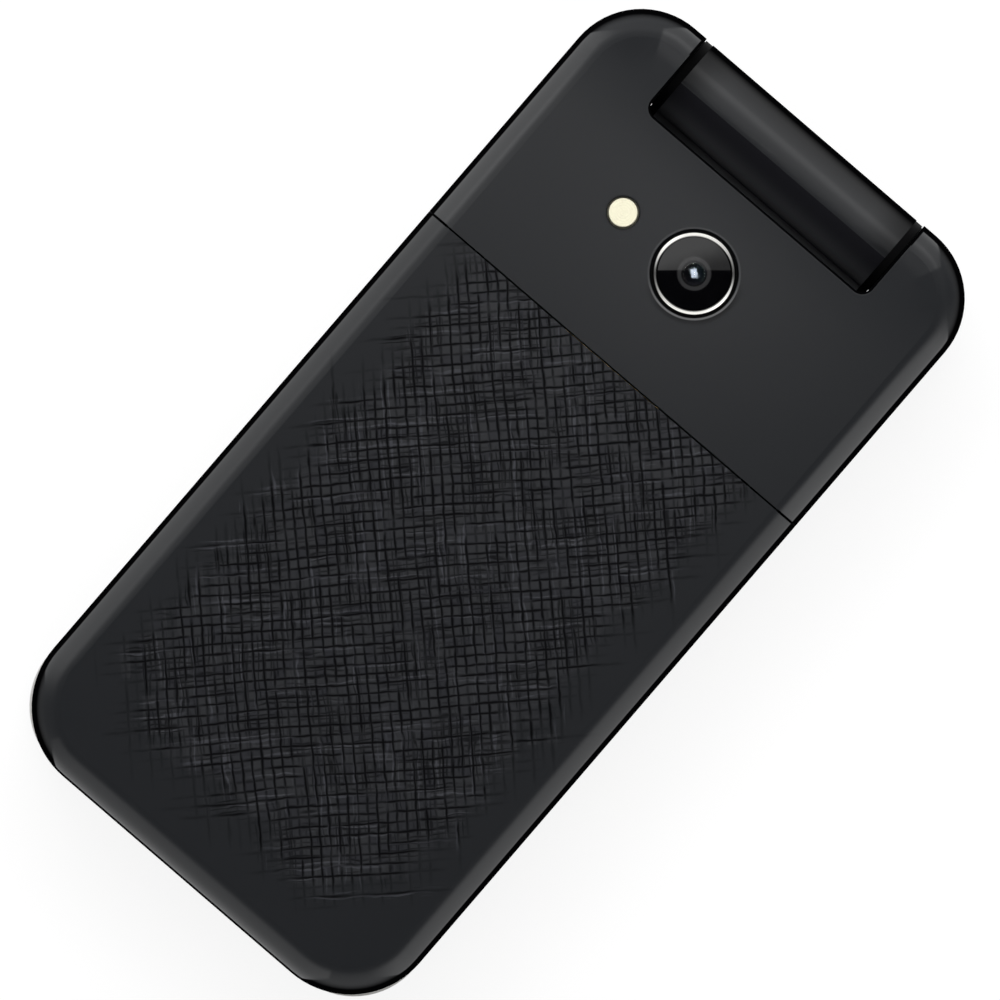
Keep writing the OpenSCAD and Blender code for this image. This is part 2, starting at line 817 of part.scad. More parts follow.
module battery_cover() {
    color([0.17, 0.17, 0.18]) {
        difference() {
            intersection() {
                base_slab(0, cover_z, back_edge_r);
                cover_side(0, -seam_gap);
            }
            intersection() {
                base_slab(wall, cover_z - 2, back_edge_r - wall);
                cover_side(0, 5);
            }
        }
        // Tongues that hook under the rear housing, clear of the battery as the cover slides
        for (x = [-tongue_x, tongue_x])
            translate([x - tongue_w / 2, seam_y - 2, platform_top_z + 0.15]) {
                cube([tongue_w, 1.7, 1]);
                cube([tongue_w, 3.2, 0.75]);
            }
        for (s = [-1, 1])
            translate([s * (phone_w / 2 - wall - fit) - rib_size[0] / 2, rib_y0,
                groove_z + (groove_size[1] - rib_size[1]) / 2])
                cube([rib_size[0], seam_y - 1 - rib_y0, rib_size[1]]);
    }
}

module battery() {
    color([0.1, 0.1, 0.11]) translate([0, battery_y, floor_z + floor_t + 0.05])
        plate(battery_size[0], battery_size[1], 1.2, battery_size[2]);
}

module battery_contacts() {
    contact_y0 = battery_y + battery_size[1] / 2 + 0.2;
    z0 = floor_z + floor_t + 0.05;
    color("goldenrod") {
        translate([-7, contact_y0 + 0.8, z0]) cube([14, 2.2, 2.6]);
        for (x = contact_x)
            translate([x - 0.6, contact_y0, z0 + 0.6]) cube([1.2, 0.8, 1.6]);
    }
}

module main_board() {
    color(board_green) difference() {
        translate([0, 0, board_z]) linear_extrude(board_t)
            outline2d(board_w, board_y[0], board_y[1], 8, 2);
        for (p = base_screw_at) disc_at(p, board_hole_r, 0, 20);
        translate([-socket_cut_w / 2, -60, 0]) cube([socket_cut_w, 60 + usb_y[1] + fit, 20]);
    }
}

module dome_sheet() {
    color("gainsboro") difference() {
        translate([0, 0, dome_z]) plate(dome_sheet_size[0], dome_sheet_size[1], 3, dome_t);
        for (p = base_screw_at) disc_at(p, board_hole_r, 0, 20);
    }
}

// Box that stands on the board at p, its upright edges rounded to radius r
module part_box(p, size, r) {
    translate([p[0], p[1], part_top_z]) plate(size[0], size[1], r, size[2]);
}

module shield_cans() {
    color("silver") {
        part_box([-18, 31.5], [8, 17, 1.6], 0.8);
        part_box([0, 25.6], [22, 6.4, 1.6], 0.8);
    }
}

module camera_module() {
    color(black) {
        part_box([0, camera_y], [8.6, 8.6, 3.9], 0.8);
        disc_at([0, camera_y], 3.9, 15, 16.6);
        translate([0, camera_y, 16.55]) ring(lens_ring_r[1], lens_ring_r[0], 0.3);
        translate([0, camera_y, 15.6]) intersection() {
            sphere(r = lens_ball_r);
            translate([0, 0, 0.8]) cylinder(r = 1.24, h = 2);
        }
    }
}

module camera_bezel() {
    color(black) translate([0, camera_y, 0]) difference() {
        union() {
            disc_at([0, 0], camera_r - play, roof_z - 0.3, back_z + 0.08);
            disc_at([0, 0], camera_r + camera_flange_w, roof_z - 0.6, roof_z);
        }
        disc_at([0, 0], camera_glass_r - 0.05, 0, 30);
        disc_at([0, 0], camera_ring_r[1] + 0.02, camera_seat_z - 0.02, 30);
    }
}

module camera_ring() {
    r = camera_ring_r[1];
    color(bright) translate([0, camera_y, camera_seat_z]) difference() {
        union() {
            cylinder(r = r, h = 0.45);
            translate([0, 0, 0.45]) cylinder(r1 = r, r2 = r - 0.16, h = 0.2);
        }
        translate([0, 0, -1]) cylinder(r = camera_ring_r[0], h = 3);
    }
}

module camera_window() {
    color(black) translate([0, camera_y, 0]) {
        disc_at([0, 0], camera_glass_r - 0.1, camera_seat_z - 0.42, camera_seat_z);
        disc_at([0, 0], camera_glass_r, camera_seat_z, back_z + 0.05);
    }
}

module flash_window() {
    color(cream) {
        disc_at([flash_x, camera_y], flash_r, roof_z - 0.3, back_z - 0.04);
        disc_at([flash_x, camera_y], flash_r + 0.6, roof_z - 0.8, roof_z);
    }
}

module usb_connector() {
    shell_l = usb_y[1] - usb_y[0];
    color("silver") translate([0, usb_y[1], usb_z]) rotate([90, 0, 0]) difference() {
        linear_extrude(shell_l) socket2d(0);
        translate([0, 0, 1]) linear_extrude(shell_l) difference() {
            socket2d(0.3);
            square([6.7, 0.7], center = true);
        }
    }
}

module microphone() {
    z0 = deck_z + deck_t + 0.05;
    color("silver") translate([mic_at[0], mic_at[1], z0])
        plate(mic_size[0], mic_size[1], 0.3, board_z - z0);
}

module loudspeaker() {
    color("dimgray") part_box([13.8, end_parts_y], [11, 14, 3.4], 1.5);
}

module vibration_motor() {
    color("silver") disc_at([15, 30], 4, part_top_z, part_top_z + 2.8);
}

module antenna() {
    color("goldenrod") translate([-11, end_parts_y, platform_top_z - platform_roof_t - 0.5])
        plate(18, 13, 1, 0.4);
}

module sim_holder() {
    color("silver") part_box([-13, end_parts_y], [13, 12, 1.4], 1);
}

module base_screws() {
    color("silver") for (p = base_screw_at) screw(p, floor_z + floor_t, deck_z + 1.2);
}

// ---------- keys ----------

// Cap, flange behind the deck and the post that presses the dome
module key(p, size) {
    top_z = deck_z - key_proud;
    color([0.16, 0.16, 0.17]) translate([p[0], p[1], 0]) {
        translate([0, 0, flange_z + 0.1]) mirror([0, 0, 1])
            slab(size[0], -size[1] / 2, size[1] / 2, key_corner_r, key_corner_r,
                flange_z + 0.1 - top_z, key_edge_r);
        translate([0, 0, flange_z]) plate(size[0] + 4 * key_gap, size[1] + 4 * key_gap,
            key_corner_r + 2 * key_gap, flange_t);
        disc_at([0, 0], post_r, flange_z + flange_t, dome_z - key_travel - play);
    }
}

module number_key(i) {
    key(number_key_at(i), [key_w, key_h]);
}

module function_key(i) {
    key(function_key_at[i], function_key_size);
}

module key_ok() {
    face_z = deck_z - key_proud;
    post_z = dome_z - key_travel - play;
    color([0.16, 0.16, 0.17]) translate([0, nav_y, 0]) {
        disc_at([0, 0], ok_r - 0.3, face_z, face_z + 0.3);
        disc_at([0, 0], ok_r, face_z + 0.3, post_z - 0.1);
        disc_at([0, 0], ok_r + 0.5, post_z - 0.1, post_z);
    }
}

module nav_ring() {
    flange_z0 = nav_pad_z - 0.45;
    face_z = deck_z - 0.3;
    color(bright) translate([0, nav_y, 0]) difference() {
        union() {
            translate([0, 0, face_z]) cylinder(r1 = nav_r - 0.3, r2 = nav_r, h = 0.2);
            disc_at([0, 0], nav_r, face_z + 0.2, flange_z0);
            disc_at([0, 0], nav_r + 0.7, flange_z0, flange_z0 + 0.25);
        }
        disc_at([0, 0], ok_r + 0.3, 0, 20);
    }
}

module nav_pad() {
    color(black) translate([0, nav_y, nav_pad_z]) ring(nav_pad_r[1], nav_pad_r[0], 0.3);
}

module volume_key() {
    outer_x = phone_w / 2 - 0.05;
    inner_x = phone_w / 2 - wall - 0.9;
    color([0.16, 0.16, 0.17]) {
        translate([inner_x, volume_y - volume_l / 2, usb_z - volume_h / 2])
            cube([outer_x - inner_x, volume_l, volume_h]);
        translate([inner_x, volume_y - volume_l / 2 - volume_flange[1],
            usb_z - volume_h / 2 - volume_flange[0]])
            cube([volume_flange[0], volume_l + 2 * volume_flange[1],
                volume_h + 2 * volume_flange[0]]);
    }
}

// ---------- assembly ----------

lid_outer_cover();
outer_window();
outer_display();
lid_trim();
lid_inner_bezel();
display_window();
main_display();
lid_board();
receiver();
receiver_mesh();
lid_bumpers();
lid_screws();
lid_magnet();
hinge_caps();
hinge_can();
hinge_spring();
hinge_bush();
flex_cable();
base_front_housing();
base_rear_housing();
main_board();
dome_sheet();
shield_cans();
battery();
battery_contacts();
hinge_shaft();
camera_module();
camera_bezel();
camera_ring();
camera_window();
flash_window();
usb_connector();
microphone();
loudspeaker();
vibration_motor();
antenna();
sim_holder();
base_screws();
battery_cover();
number_key_names = ["1", "2", "3", "4", "5", "6", "7", "8", "9", "star", "0", "hash"];
for (i = [0 : 11])
    number_key(i);
function_key(0);  // key_soft_left
function_key(1);  // key_soft_right
function_key(2);  // key_call
function_key(3);  // key_end
key_ok();
nav_ring();
nav_pad();
volume_key();
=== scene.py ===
"""A closed flip phone lying on its display half, seen from straight above its camera side."""
import json
import math

import bmesh
import bpy
from mathutils import Matrix, Vector


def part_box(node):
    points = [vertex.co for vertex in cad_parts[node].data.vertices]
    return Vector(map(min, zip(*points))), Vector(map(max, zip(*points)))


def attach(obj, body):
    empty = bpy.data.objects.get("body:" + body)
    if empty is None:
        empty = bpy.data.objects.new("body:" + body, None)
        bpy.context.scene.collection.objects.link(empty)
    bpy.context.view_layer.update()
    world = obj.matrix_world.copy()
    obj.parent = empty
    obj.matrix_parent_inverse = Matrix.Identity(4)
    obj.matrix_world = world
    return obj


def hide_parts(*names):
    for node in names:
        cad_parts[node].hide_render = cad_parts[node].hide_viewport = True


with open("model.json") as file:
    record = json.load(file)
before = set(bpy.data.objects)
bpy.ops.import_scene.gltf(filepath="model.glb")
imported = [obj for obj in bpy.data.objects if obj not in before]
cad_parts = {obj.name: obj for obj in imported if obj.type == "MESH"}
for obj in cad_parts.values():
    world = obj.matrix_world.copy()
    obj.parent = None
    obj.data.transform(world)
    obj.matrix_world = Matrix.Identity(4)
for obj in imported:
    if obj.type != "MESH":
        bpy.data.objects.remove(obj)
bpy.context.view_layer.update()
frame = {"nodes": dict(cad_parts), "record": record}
nodes = frame["nodes"]

MM = 0.001

# The photograph's frame: how the phone lies in it
PHOTO_PIXELS = 1000
PIXELS_PER_MM = 8.776
PHONE_CENTRE_PX = (496.4, 503.5)
PHONE_TURN = math.radians(40.7)

CAMERA_LENS = 1000.0
CAMERA_SENSOR = 36.0
FOCUS_HEIGHT = 13.0


def photo_direction(right, up):
    """A direction on the floor, given by how it runs in the photograph."""
    c, s = math.cos(PHONE_TURN), math.sin(PHONE_TURN)
    return Vector((right * c - up * s, right * s + up * c, 0.0))


# ---------------------------------------------------------------- measures from the frame


def box_mm(node):
    """Lowest and highest corner of a CAD node in millimetres."""
    low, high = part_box(node)
    return low / MM, high / MM


def centre_mm(node):
    low, high = box_mm(node)
    return (low + high) / 2


BACK_Z = box_mm("base_rear_housing")[1].z
WINDOW_AT = centre_mm("camera_window")
WINDOW_TOP = box_mm("camera_window")[1].z
WINDOW_R = (box_mm("camera_window")[1].x - box_mm("camera_window")[0].x) / 2
FLASH_AT = centre_mm("flash_window")
FLASH_TOP = box_mm("flash_window")[1].z
FLASH_RING_R = 2.0
NAV_AT = centre_mm("nav_ring")


# ---------------------------------------------------------------- shader values


class Value:
    """One value in a material's nodes. Python's operators on it add Math nodes."""

    def __init__(self, shade, socket):
        self.shade = shade
        self.socket = socket

    def __add__(self, other):
        return self.shade.math("ADD", self, other)

    def __sub__(self, other):
        return self.shade.math("SUBTRACT", self, other)

    def __rsub__(self, other):
        return self.shade.math("SUBTRACT", other, self)

    def __mul__(self, other):
        return self.shade.math("MULTIPLY", self, other)

    def __truediv__(self, other):
        return self.shade.math("DIVIDE", self, other)

    __radd__ = __add__
    __rmul__ = __mul__

    def __abs__(self):
        return self.shade.math("ABSOLUTE", self)

    def larger(self, other):
        return self.shade.math("MAXIMUM", self, other)

    def smaller(self, other):
        return self.shade.math("MINIMUM", self, other)

    def floor(self):
        return self.shade.math("FLOOR", self)

    def step(self, low, high):
        """0 up to low and 1 from high on, with a smooth change between them."""
        inputs = {0: self, 1: low, 2: high, 3: 0.0, 4: 1.0}
        return self.shade.node("ShaderNodeMapRange", inputs, interpolation_type="SMOOTHSTEP")


class Shade:
    """A material, or the world, under construction."""

    def __init__(self, name, holders=bpy.data.materials):
        self.material = holders.new(name)
        self.material.use_nodes = True
        self.tree = self.material.node_tree
        self.tree.nodes.clear()

    def node(self, kind, inputs=None, out=0, **settings):
        """Any node: its settings first, then its sockets by name or number."""
        made = self.tree.nodes.new(kind)
        for name, value in settings.items():
            setattr(made, name, value)
        for name, value in (inputs or {}).items():
            socket = made.inputs[name]
            if isinstance(value, Value):
                self.tree.links.new(value.socket, socket)
            elif socket.type == "RGBA":
                socket.default_value = (*value[:3], 1.0)
            else:
                socket.default_value = value
        return Value(self, made.outputs[out] if made.outputs else None)

    def math(self, operation, *operands):
        return self.node("ShaderNodeMath", dict(enumerate(operands)), operation=operation)

    def place(self):
        """Position on the piece in millimetres, which stays with the piece as it moves."""
        coordinate = self.node("ShaderNodeTexCoord", out="Object")
        return self.scale(coordinate, 1 / MM)

    def scale(self, vector, factor):
        return self.node("ShaderNodeVectorMath", {0: vector, "Scale": factor}, operation="SCALE")

    def from_axis(self, x, y, centre):
        """Distance in plan from a vertical line through centre."""
        inputs = {0: self.join(x, y, 0.0), 1: (centre.x, centre.y, 0.0)}
        return self.node("ShaderNodeVectorMath", inputs, out="Value", operation="DISTANCE")

    def split(self, vector):
        part = self.node("ShaderNodeSeparateXYZ", {0: vector})
        sockets = part.socket.node.outputs
        return [Value(self, sockets[i]) for i in range(3)]

    def join(self, x, y, z):
        return self.node("ShaderNodeCombineXYZ", {0: x, 1: y, 2: z})

    def noise(self, vector, scale, detail=2.0, rough=0.5):
        inputs = {"Vector": vector, "Scale": scale, "Detail": detail, "Roughness": rough}
        return self.node("ShaderNodeTexNoise", inputs)

    def mix(self, factor, first, second):
        """first where factor is 0 and second where it is 1, as colours."""
        inputs = {0: factor, 6: first, 7: second}
        return self.node("ShaderNodeMix", inputs, out=2, data_type="RGBA")

    def bump(self, height, depth):
        """Normal for a relief of that depth in millimetres."""
        return self.node("ShaderNodeBump", {"Height": height, "Distance": depth * MM})

    def surface(self, colour, roughness, **more):
        """Principled shader. more names its other sockets, with _ for a space."""
        inputs = {"Base Color": colour, "Roughness": roughness}
        inputs.update({name.replace("_", " "): value for name, value in more.items()})
        return self.node("ShaderNodeBsdfPrincipled", inputs)

    def done(self, shader):
        self.node("ShaderNodeOutputMaterial", {"Surface": shader})
        return self.material


# ---------------------------------------------------------------- paint of the shells

CHARCOAL = (0.0036, 0.0047, 0.0066)
CHARCOAL_LIGHT = (0.007, 0.0082, 0.0105)
MATT_BLACK = (0.0012, 0.0012, 0.0014)
SIDE_BLACK = (0.0045, 0.0045, 0.005)
# How far below the face the black of the sides begins; its widening at the corners is painted shade
BAND_DROP = 1.33
BAND_DROP_AT_FREE_END = 1.95
BAND_DROP_AT_CORNERS = 1.0
CORNER_CENTRE = (17.6, 45.9)
CORNER_TIP_ALONG = (0.687, 0.727)
CORNER_TIP_FROM = 53.1
FREE_END_FADE = (51.0, 53.0)
SEAM_Y = 20.25
WALL_TOP_Z = 14.6
BARREL_START_Y = (50.0, 50.4)
BARREL_LOW_Z = (6.0, 7.5)
# Painted shade on the barrel: black below these heights, and partly black past these distances from
# its middle
BARREL_SHADE_Z = (11.3, 14.1)
BARREL_SHADE_X = (10.5, 15.5)
# Painted highlight on the edge of the camera opening: its radii and pale colour; and how far the
# painted shadow beyond it reaches
CAMERA_EDGE_R = (5.08, 5.32)
CAMERA_EDGE_HIGHLIGHT = (0.14, 0.141, 0.144)
CAMERA_SHADOW_R = 6.1
NOTCH_HALF_WIDTH = 16.7
NOTCH_Y = 44.6
HINGE_DIM_Y = (38.0, 49.0)
HINGE_DIM_END_Y = (50.3, 51.8)


def mixed(s, factor, first, second):
    """Shader that is first where factor is 0 and second where it is 1."""
    return s.node("ShaderNodeMixShader", {0: factor, 1: first, 2: second})


def paint_layer(s, place, colour, relief, coat):
    """Satin paint with a thin clear coat, over the given colour and relief."""
    roughness = 0.4 + s.noise(place, 0.9, 3.0) * 0.08
    return s.surface(
        colour, roughness, Normal=relief, Coat_Weight=coat, Coat_Roughness=0.2,
        Specular_IOR_Level=0.4,
    )


def flecked(s, place):
    """Charcoal with a faint cloud and fleck, and the height of its fine orange peel."""
    cloud = s.noise(place, 0.05, 2.0)
    grain = s.noise(place, 5.0, 3.0)
    colour = s.mix(cloud * 0.7 + grain * 0.2, CHARCOAL, CHARCOAL_LIGHT)
    peel = s.noise(place, 2.0, 2.0) * 0.6 + grain * 0.4
    return colour, peel


def corner_share(s, place):
    """1 in the corners of the outline: rises slowly from the long sides, ends soon at the ends."""
    x, y, _ = s.split(place)
    out_x = abs(x) - CORNER_CENTRE[0]
    out_y = abs(y) - CORNER_CENTRE[1]
    slope = out_y / out_x.larger(0.01)
    sector = slope.step(0.05, 0.7) * (1.0 - slope.step(2.15, 2.6)) * out_x.step(0.0, 2.0)
    from_centre = s.math("SQRT", (out_x * out_x + out_y * out_y).larger(0.01))
    outwards = abs(x) * CORNER_TIP_ALONG[0] + abs(y) * CORNER_TIP_ALONG[1]
    tip = outwards.step(CORNER_TIP_FROM - 0.2, CORNER_TIP_FROM + 0.2)
    return (sector * from_centre.step(2.0, 6.5)).larger(tip)


def bare_side_with_painted_shade(s, place):
    """Black of the sides, which the paint leaves free, and also painted shade for the dark outline
    of the steep edge: matt with no gloss above, and satin on the wall.
    """
    z = s.split(place)[2]
    matt = s.surface(MATT_BLACK, 0.8, Specular_IOR_Level=0.0)
    satin = s.surface(SIDE_BLACK, 0.45)
    return mixed(s, z.step(WALL_TOP_Z - 0.9, WALL_TOP_Z), satin, matt)


def side_mask(s, place):
    """1 on the paint and 0 below its edge, where the black is painted shade: round the sides,
    reaching furthest in at the corners, on the walls of the notch and the seam, and round the flash
    lens.
    """
    x, y, z = s.split(place)
    corner = corner_share(s, place)
    free_end = (0.0 - y).step(*FREE_END_FADE)
    drop = BAND_DROP + free_end * (BAND_DROP_AT_FREE_END - BAND_DROP)
    # In the corners the black starts higher and its edge is softer, as painted shade
    drop = drop + corner * (BAND_DROP_AT_CORNERS - drop)
    soft = 0.05 + corner * 0.4
    round_sides = ((z + drop - BACK_Z) / soft).step(-1.0, 1.0)
    in_notch = (NOTCH_HALF_WIDTH - abs(x)).smaller(y - NOTCH_Y).step(-0.02, 0.02)
    in_seam = 1.0 - abs(y - SEAM_Y).step(0.13, 0.16)
    below_face = 1.0 - z.step(BACK_Z - 0.06, BACK_Z - 0.02)
    from_flash = s.from_axis(x, y, FLASH_AT)
    off_flash = from_flash.step(FLASH_RING_R - 0.2, FLASH_RING_R + 0.1)
    return round_sides * (1.0 - in_notch.larger(in_seam) * below_face) * off_flash


def back_shell():
    """Shell of the keypad half, duller by the hinge, with a painted highlight on the edge of the
    camera opening, strongest on the camera's side lowest in the view, and a painted shadow beyond
    that edge on the same side.
    """
    s = Shade("charcoal_back_shell")
    place = s.place()
    colour, peel = flecked(s, place)
    x, y, z = s.split(place)
    from_camera = s.from_axis(x, y, WINDOW_AT)
    # Painted highlight: a pale ring on the edge of the camera opening, faint all round and strong
    # on the side lowest in the view
    rim = from_camera.step(CAMERA_EDGE_R[0] - 0.04, CAMERA_EDGE_R[0] + 0.04)
    rim = rim * (1.0 - from_camera.step(CAMERA_EDGE_R[1] - 0.06, CAMERA_EDGE_R[1] + 0.06))
    # The camera's side lowest in the view, where the painted highlight and the painted shadow are
    # strongest
    down = photo_direction(0, -1)
    below_camera = (x - WINDOW_AT.x) * down.x + (y - WINDOW_AT.y) * down.y
    painted_light_side = below_camera.step(0.0, 4.0)
    # Painted shadow: matt black beyond that edge on the side lowest in the view, where the coat is
    # also taken away
    painted_shadow = painted_light_side * (1.0 - from_camera.step(CAMERA_EDGE_R[1], CAMERA_SHADOW_R))
    colour = s.mix(painted_shadow * 0.7, colour, MATT_BLACK)
    colour = s.mix(rim * (0.2 + painted_light_side * 0.7), colour, CAMERA_EDGE_HIGHLIGHT)
    by_hinge = y.step(*HINGE_DIM_Y) * (1.0 - y.step(*HINGE_DIM_END_Y))
    by_hinge = by_hinge * z.step(BACK_Z - 0.4, BACK_Z - 0.05)
    coat = (0.85 - corner_share(s, place) * 0.8) * (1.0 - painted_shadow * 0.8) * (1.0 - by_hinge * 0.7)
    paint = paint_layer(s, place, colour, s.bump(peel, 0.004), coat)
    return s.done(mixed(s, side_mask(s, place), bare_side_with_painted_shade(s, place), paint))


def display_shell():
    """Shell of the display half: the same paint, which painted shade turns matt black down the
    flanks of the barrel and partly black towards its ends.
    """
    s = Shade("charcoal_display_shell")
    place = s.place()
    x, y, z = s.split(place)
    colour, peel = flecked(s, place)
    coat = 0.65 + y.step(50.2, 51.2) * 0.2
    coat = coat + (1.0 - z.step(*BARREL_LOW_Z)) * (0.85 - coat)
    paint = paint_layer(s, place, colour, s.bump(peel, 0.004), coat)
    # Painted shade: matt black with no gloss down the barrel's flanks
    black = s.surface(MATT_BLACK, 0.8, Specular_IOR_Level=0.0)
    on_barrel = y.step(*BARREL_START_Y) * z.step(*BARREL_LOW_Z)
    painted_shade_flank = 1.0 - z.step(*BARREL_SHADE_Z) * (1.0 - abs(x).step(*BARREL_SHADE_X) * 0.4)
    return s.done(mixed(s, on_barrel * painted_shade_flank, paint, black))


# ---------------------------------------------------------------- cross-hatch of the cover

HATCH_PITCH = 1.14
FINE_PITCH = 0.7
HATCH_ANGLES = (44.8, -45.2)
HATCH_HALF_WIDTH = 20.6
HATCH_END_Y = -47.0
HATCH_CORNER_SUM = 60.5
# Pale colour of the ridges where they glint: a painted highlight
RIDGE_GLINT = (0.072, 0.074, 0.088)
HATCH_GROUND = (0.0185, 0.0195, 0.0222)
HATCH_SHADE = (0.0035, 0.004, 0.009)


def line_across(across, pitch, half_width, softness=0.4):
    """1 on the lines of a ruling, one each pitch, falling to 0 beside them."""
    turn = across / pitch
    off_centre = abs(turn - turn.floor() - 0.5) * pitch
    return 1.0 - off_centre.step(half_width * (1 - softness), half_width * (1 + softness))


def hatch_reach(s, place, reach):
    """Where the lines run: 1 in the full texture, and the share of those that stray past it."""
    x, y, _ = s.split(place)
    cut_corner = (HATCH_CORNER_SUM - abs(x) - abs(y)) * 0.7
    edge = (HATCH_HALF_WIDTH - abs(x)).smaller(y - HATCH_END_Y).smaller(cut_corner)
    straying = edge + reach * 9.0 + s.noise(place, 0.12, 1.0) * 5.0
    return straying.step(6.0, 9.0), straying.step(4.6, 6.6) * 0.35


def hatch_ruling(s, place, degrees, seed):
    """One family of wavering lines: its dark grooves, pale ridges, cell numbers and region."""
    angle = math.radians(degrees)
    x, y, _ = s.split(place)
    run = x * math.cos(angle) - y * math.sin(angle)
    level = x * math.sin(angle) + y * math.cos(angle)
    # All lines sway slowly and wobble a little
    sway = s.noise(s.join(run * 0.05, level * 0.05, seed + 21.0), 1.0, 1.0)
    wobble = s.noise(s.join(run * 0.55, level * 1.1, seed + 27.0), 1.0, 1.0) * 0.34
    across = level + sway + wobble + seed
    turn = across / HATCH_PITCH
    line_number = turn.floor()
    # How far each line reaches, its weight, where finer lines bundle and where ridges get a painted
    # glint
    reach = s.noise(s.join(line_number * 3.7, run * 0.04, seed), 1.0, 0.0)
    weight = s.noise(s.join(line_number * 2.9, run * 0.22, seed + 5.0), 1.0, 2.0)
    bundles = s.noise(s.join(level * 0.22, run * 0.16, seed + 9.0), 1.0, 1.0)
    glints = s.noise(s.join((turn * 2.0).floor() * 5.3, run * 0.085, seed + 13.0), 1.0, 1.0)
    region, stray = hatch_reach(s, place, reach)

    bundle = bundles.step(0.44, 0.6)
    # The fine grooves and pale ridges drift off the even spacing
    drift = s.noise(s.join(run * 0.3, level * 1.3, seed + 33.0), 1.0, 1.0) * 0.9
    uneven = across + drift
    main = line_across(across, HATCH_PITCH, 0.145, 0.95) * (0.5 + weight.step(0.36, 0.52) * 0.5)
    fine = line_across(uneven, FINE_PITCH, 0.11, 0.95) * bundle * 0.72
    pale = line_across(uneven, HATCH_PITCH / 2, 0.09, 0.6)
    pale = pale * (0.05 + glints.step(0.55, 0.66) * 0.85)
    return (
        (main * region.larger(stray)).larger(fine * region), pale * region, (turn + 0.5).floor(),
        region,
    )


def hatched_cover():
    """Battery cover: the paint of the shells with two crossed rulings pressed into it."""
    s = Shade("charcoal_cross_hatched_cover")
    place = s.place()
    colour, peel = flecked(s, place)
    first = hatch_ruling(s, place, HATCH_ANGLES[0], 31.0)
    second = hatch_ruling(s, place, HATCH_ANGLES[1], 67.0)
    grooves = first[0].larger(second[0])
    ridges = first[1].larger(second[1])
    region = first[3].smaller(second[3])
    cells = s.noise(s.join(first[2] * 0.83, second[2] * 0.83, 3.0), 1.0, 2.0)
    shade = cells.step(0.4, 0.66) * 0.42 * region
    colour = s.mix(region * 0.85, colour, HATCH_GROUND)
    colour = s.mix(shade, colour, HATCH_SHADE)
    # Painted highlight: the ridges are painted pale where they glint
    colour = s.mix(ridges * 0.5, colour, RIDGE_GLINT)
    height = 0.5 + ridges * 0.35 - grooves * 0.5 + peel * 0.04
    roughness = 0.42 + s.noise(place, 0.9, 3.0) * 0.06
    coat = (0.6 - shade * 0.3) * (1.0 - corner_share(s, place) * 0.9)
    paint = s.surface(
        colour, roughness, Normal=s.bump(height, 0.05), Coat_Weight=coat,
        Coat_Roughness=0.2, Specular_IOR_Level=0.4,
    )
    groove = s.surface(MATT_BLACK, 0.8, Specular_IOR_Level=0.0)
    surface = mixed(s, grooves * 0.92, paint, groove)
    return s.done(mixed(s, side_mask(s, place), bare_side_with_painted_shade(s, place), surface))


# ---------------------------------------------------------------- other finishes


def plain(name, colour, roughness, depth=0.004, scale=3.0, **more):
    """A moulded or machined finish: slight colour drift, fine relief, uneven roughness."""
    s = Shade(name)
    place = s.place()
    drift = s.noise(place, 0.15, 2.0)
    grain = s.noise(place, scale, 3.0)
    darker = tuple(c * 0.82 for c in colour)
    tint = s.mix(drift * 0.6 + grain * 0.4, darker, colour)
    uneven = roughness * 0.85 + grain * (roughness * 0.3)
    return s.done(s.surface(tint, uneven, Normal=s.bump(grain, depth), **more))


def moulded_deck():
    """Spark-eroded plastic: a fine dense grain with a few glints."""
    s = Shade("spark_textured_deck")
    place = s.place()
    grain = s.noise(place, 7.0, 4.0, 0.65)
    colour = s.mix(grain.step(0.35, 0.75), (0.0085, 0.0085, 0.0092), (0.017, 0.017, 0.0185))
    return s.done(s.surface(colour, 0.42 + grain * 0.2, Normal=s.bump(grain, 0.02)))


def turned_metal(name, colour, centre, roughness):
    """Metal with fine turning marks round a vertical axis."""
    s = Shade(name)
    place = s.place()
    x, y, _ = s.split(place)
    radius = s.from_axis(x, y, centre)
    marks = s.noise(s.join(radius * 14.0, 0.0, 0.0), 1.0, 3.0)
    tint = s.mix(marks, tuple(c * 0.75 for c in colour), colour)
    relief = s.bump(marks, 0.004)
    return s.done(s.surface(tint, roughness + marks * 0.12, Normal=relief, Metallic=1.0))


def brushed_metal(name, colour, roughness):
    """Metal with fine scratches across the phone."""
    s = Shade(name)
    x, y, z = s.split(s.place())
    marks = s.noise(s.join(x * 0.6, y * 9.0, z * 9.0), 1.0, 3.0)
    tint = s.mix(marks, tuple(c * 0.8 for c in colour), colour)
    relief = s.bump(marks, 0.003)
    return s.done(s.surface(tint, roughness + marks * 0.15, Normal=relief, Metallic=1.0))


APERTURE_R = 1.2
LENS_RING_R = 1.8
RING_LINE_R = 4.48


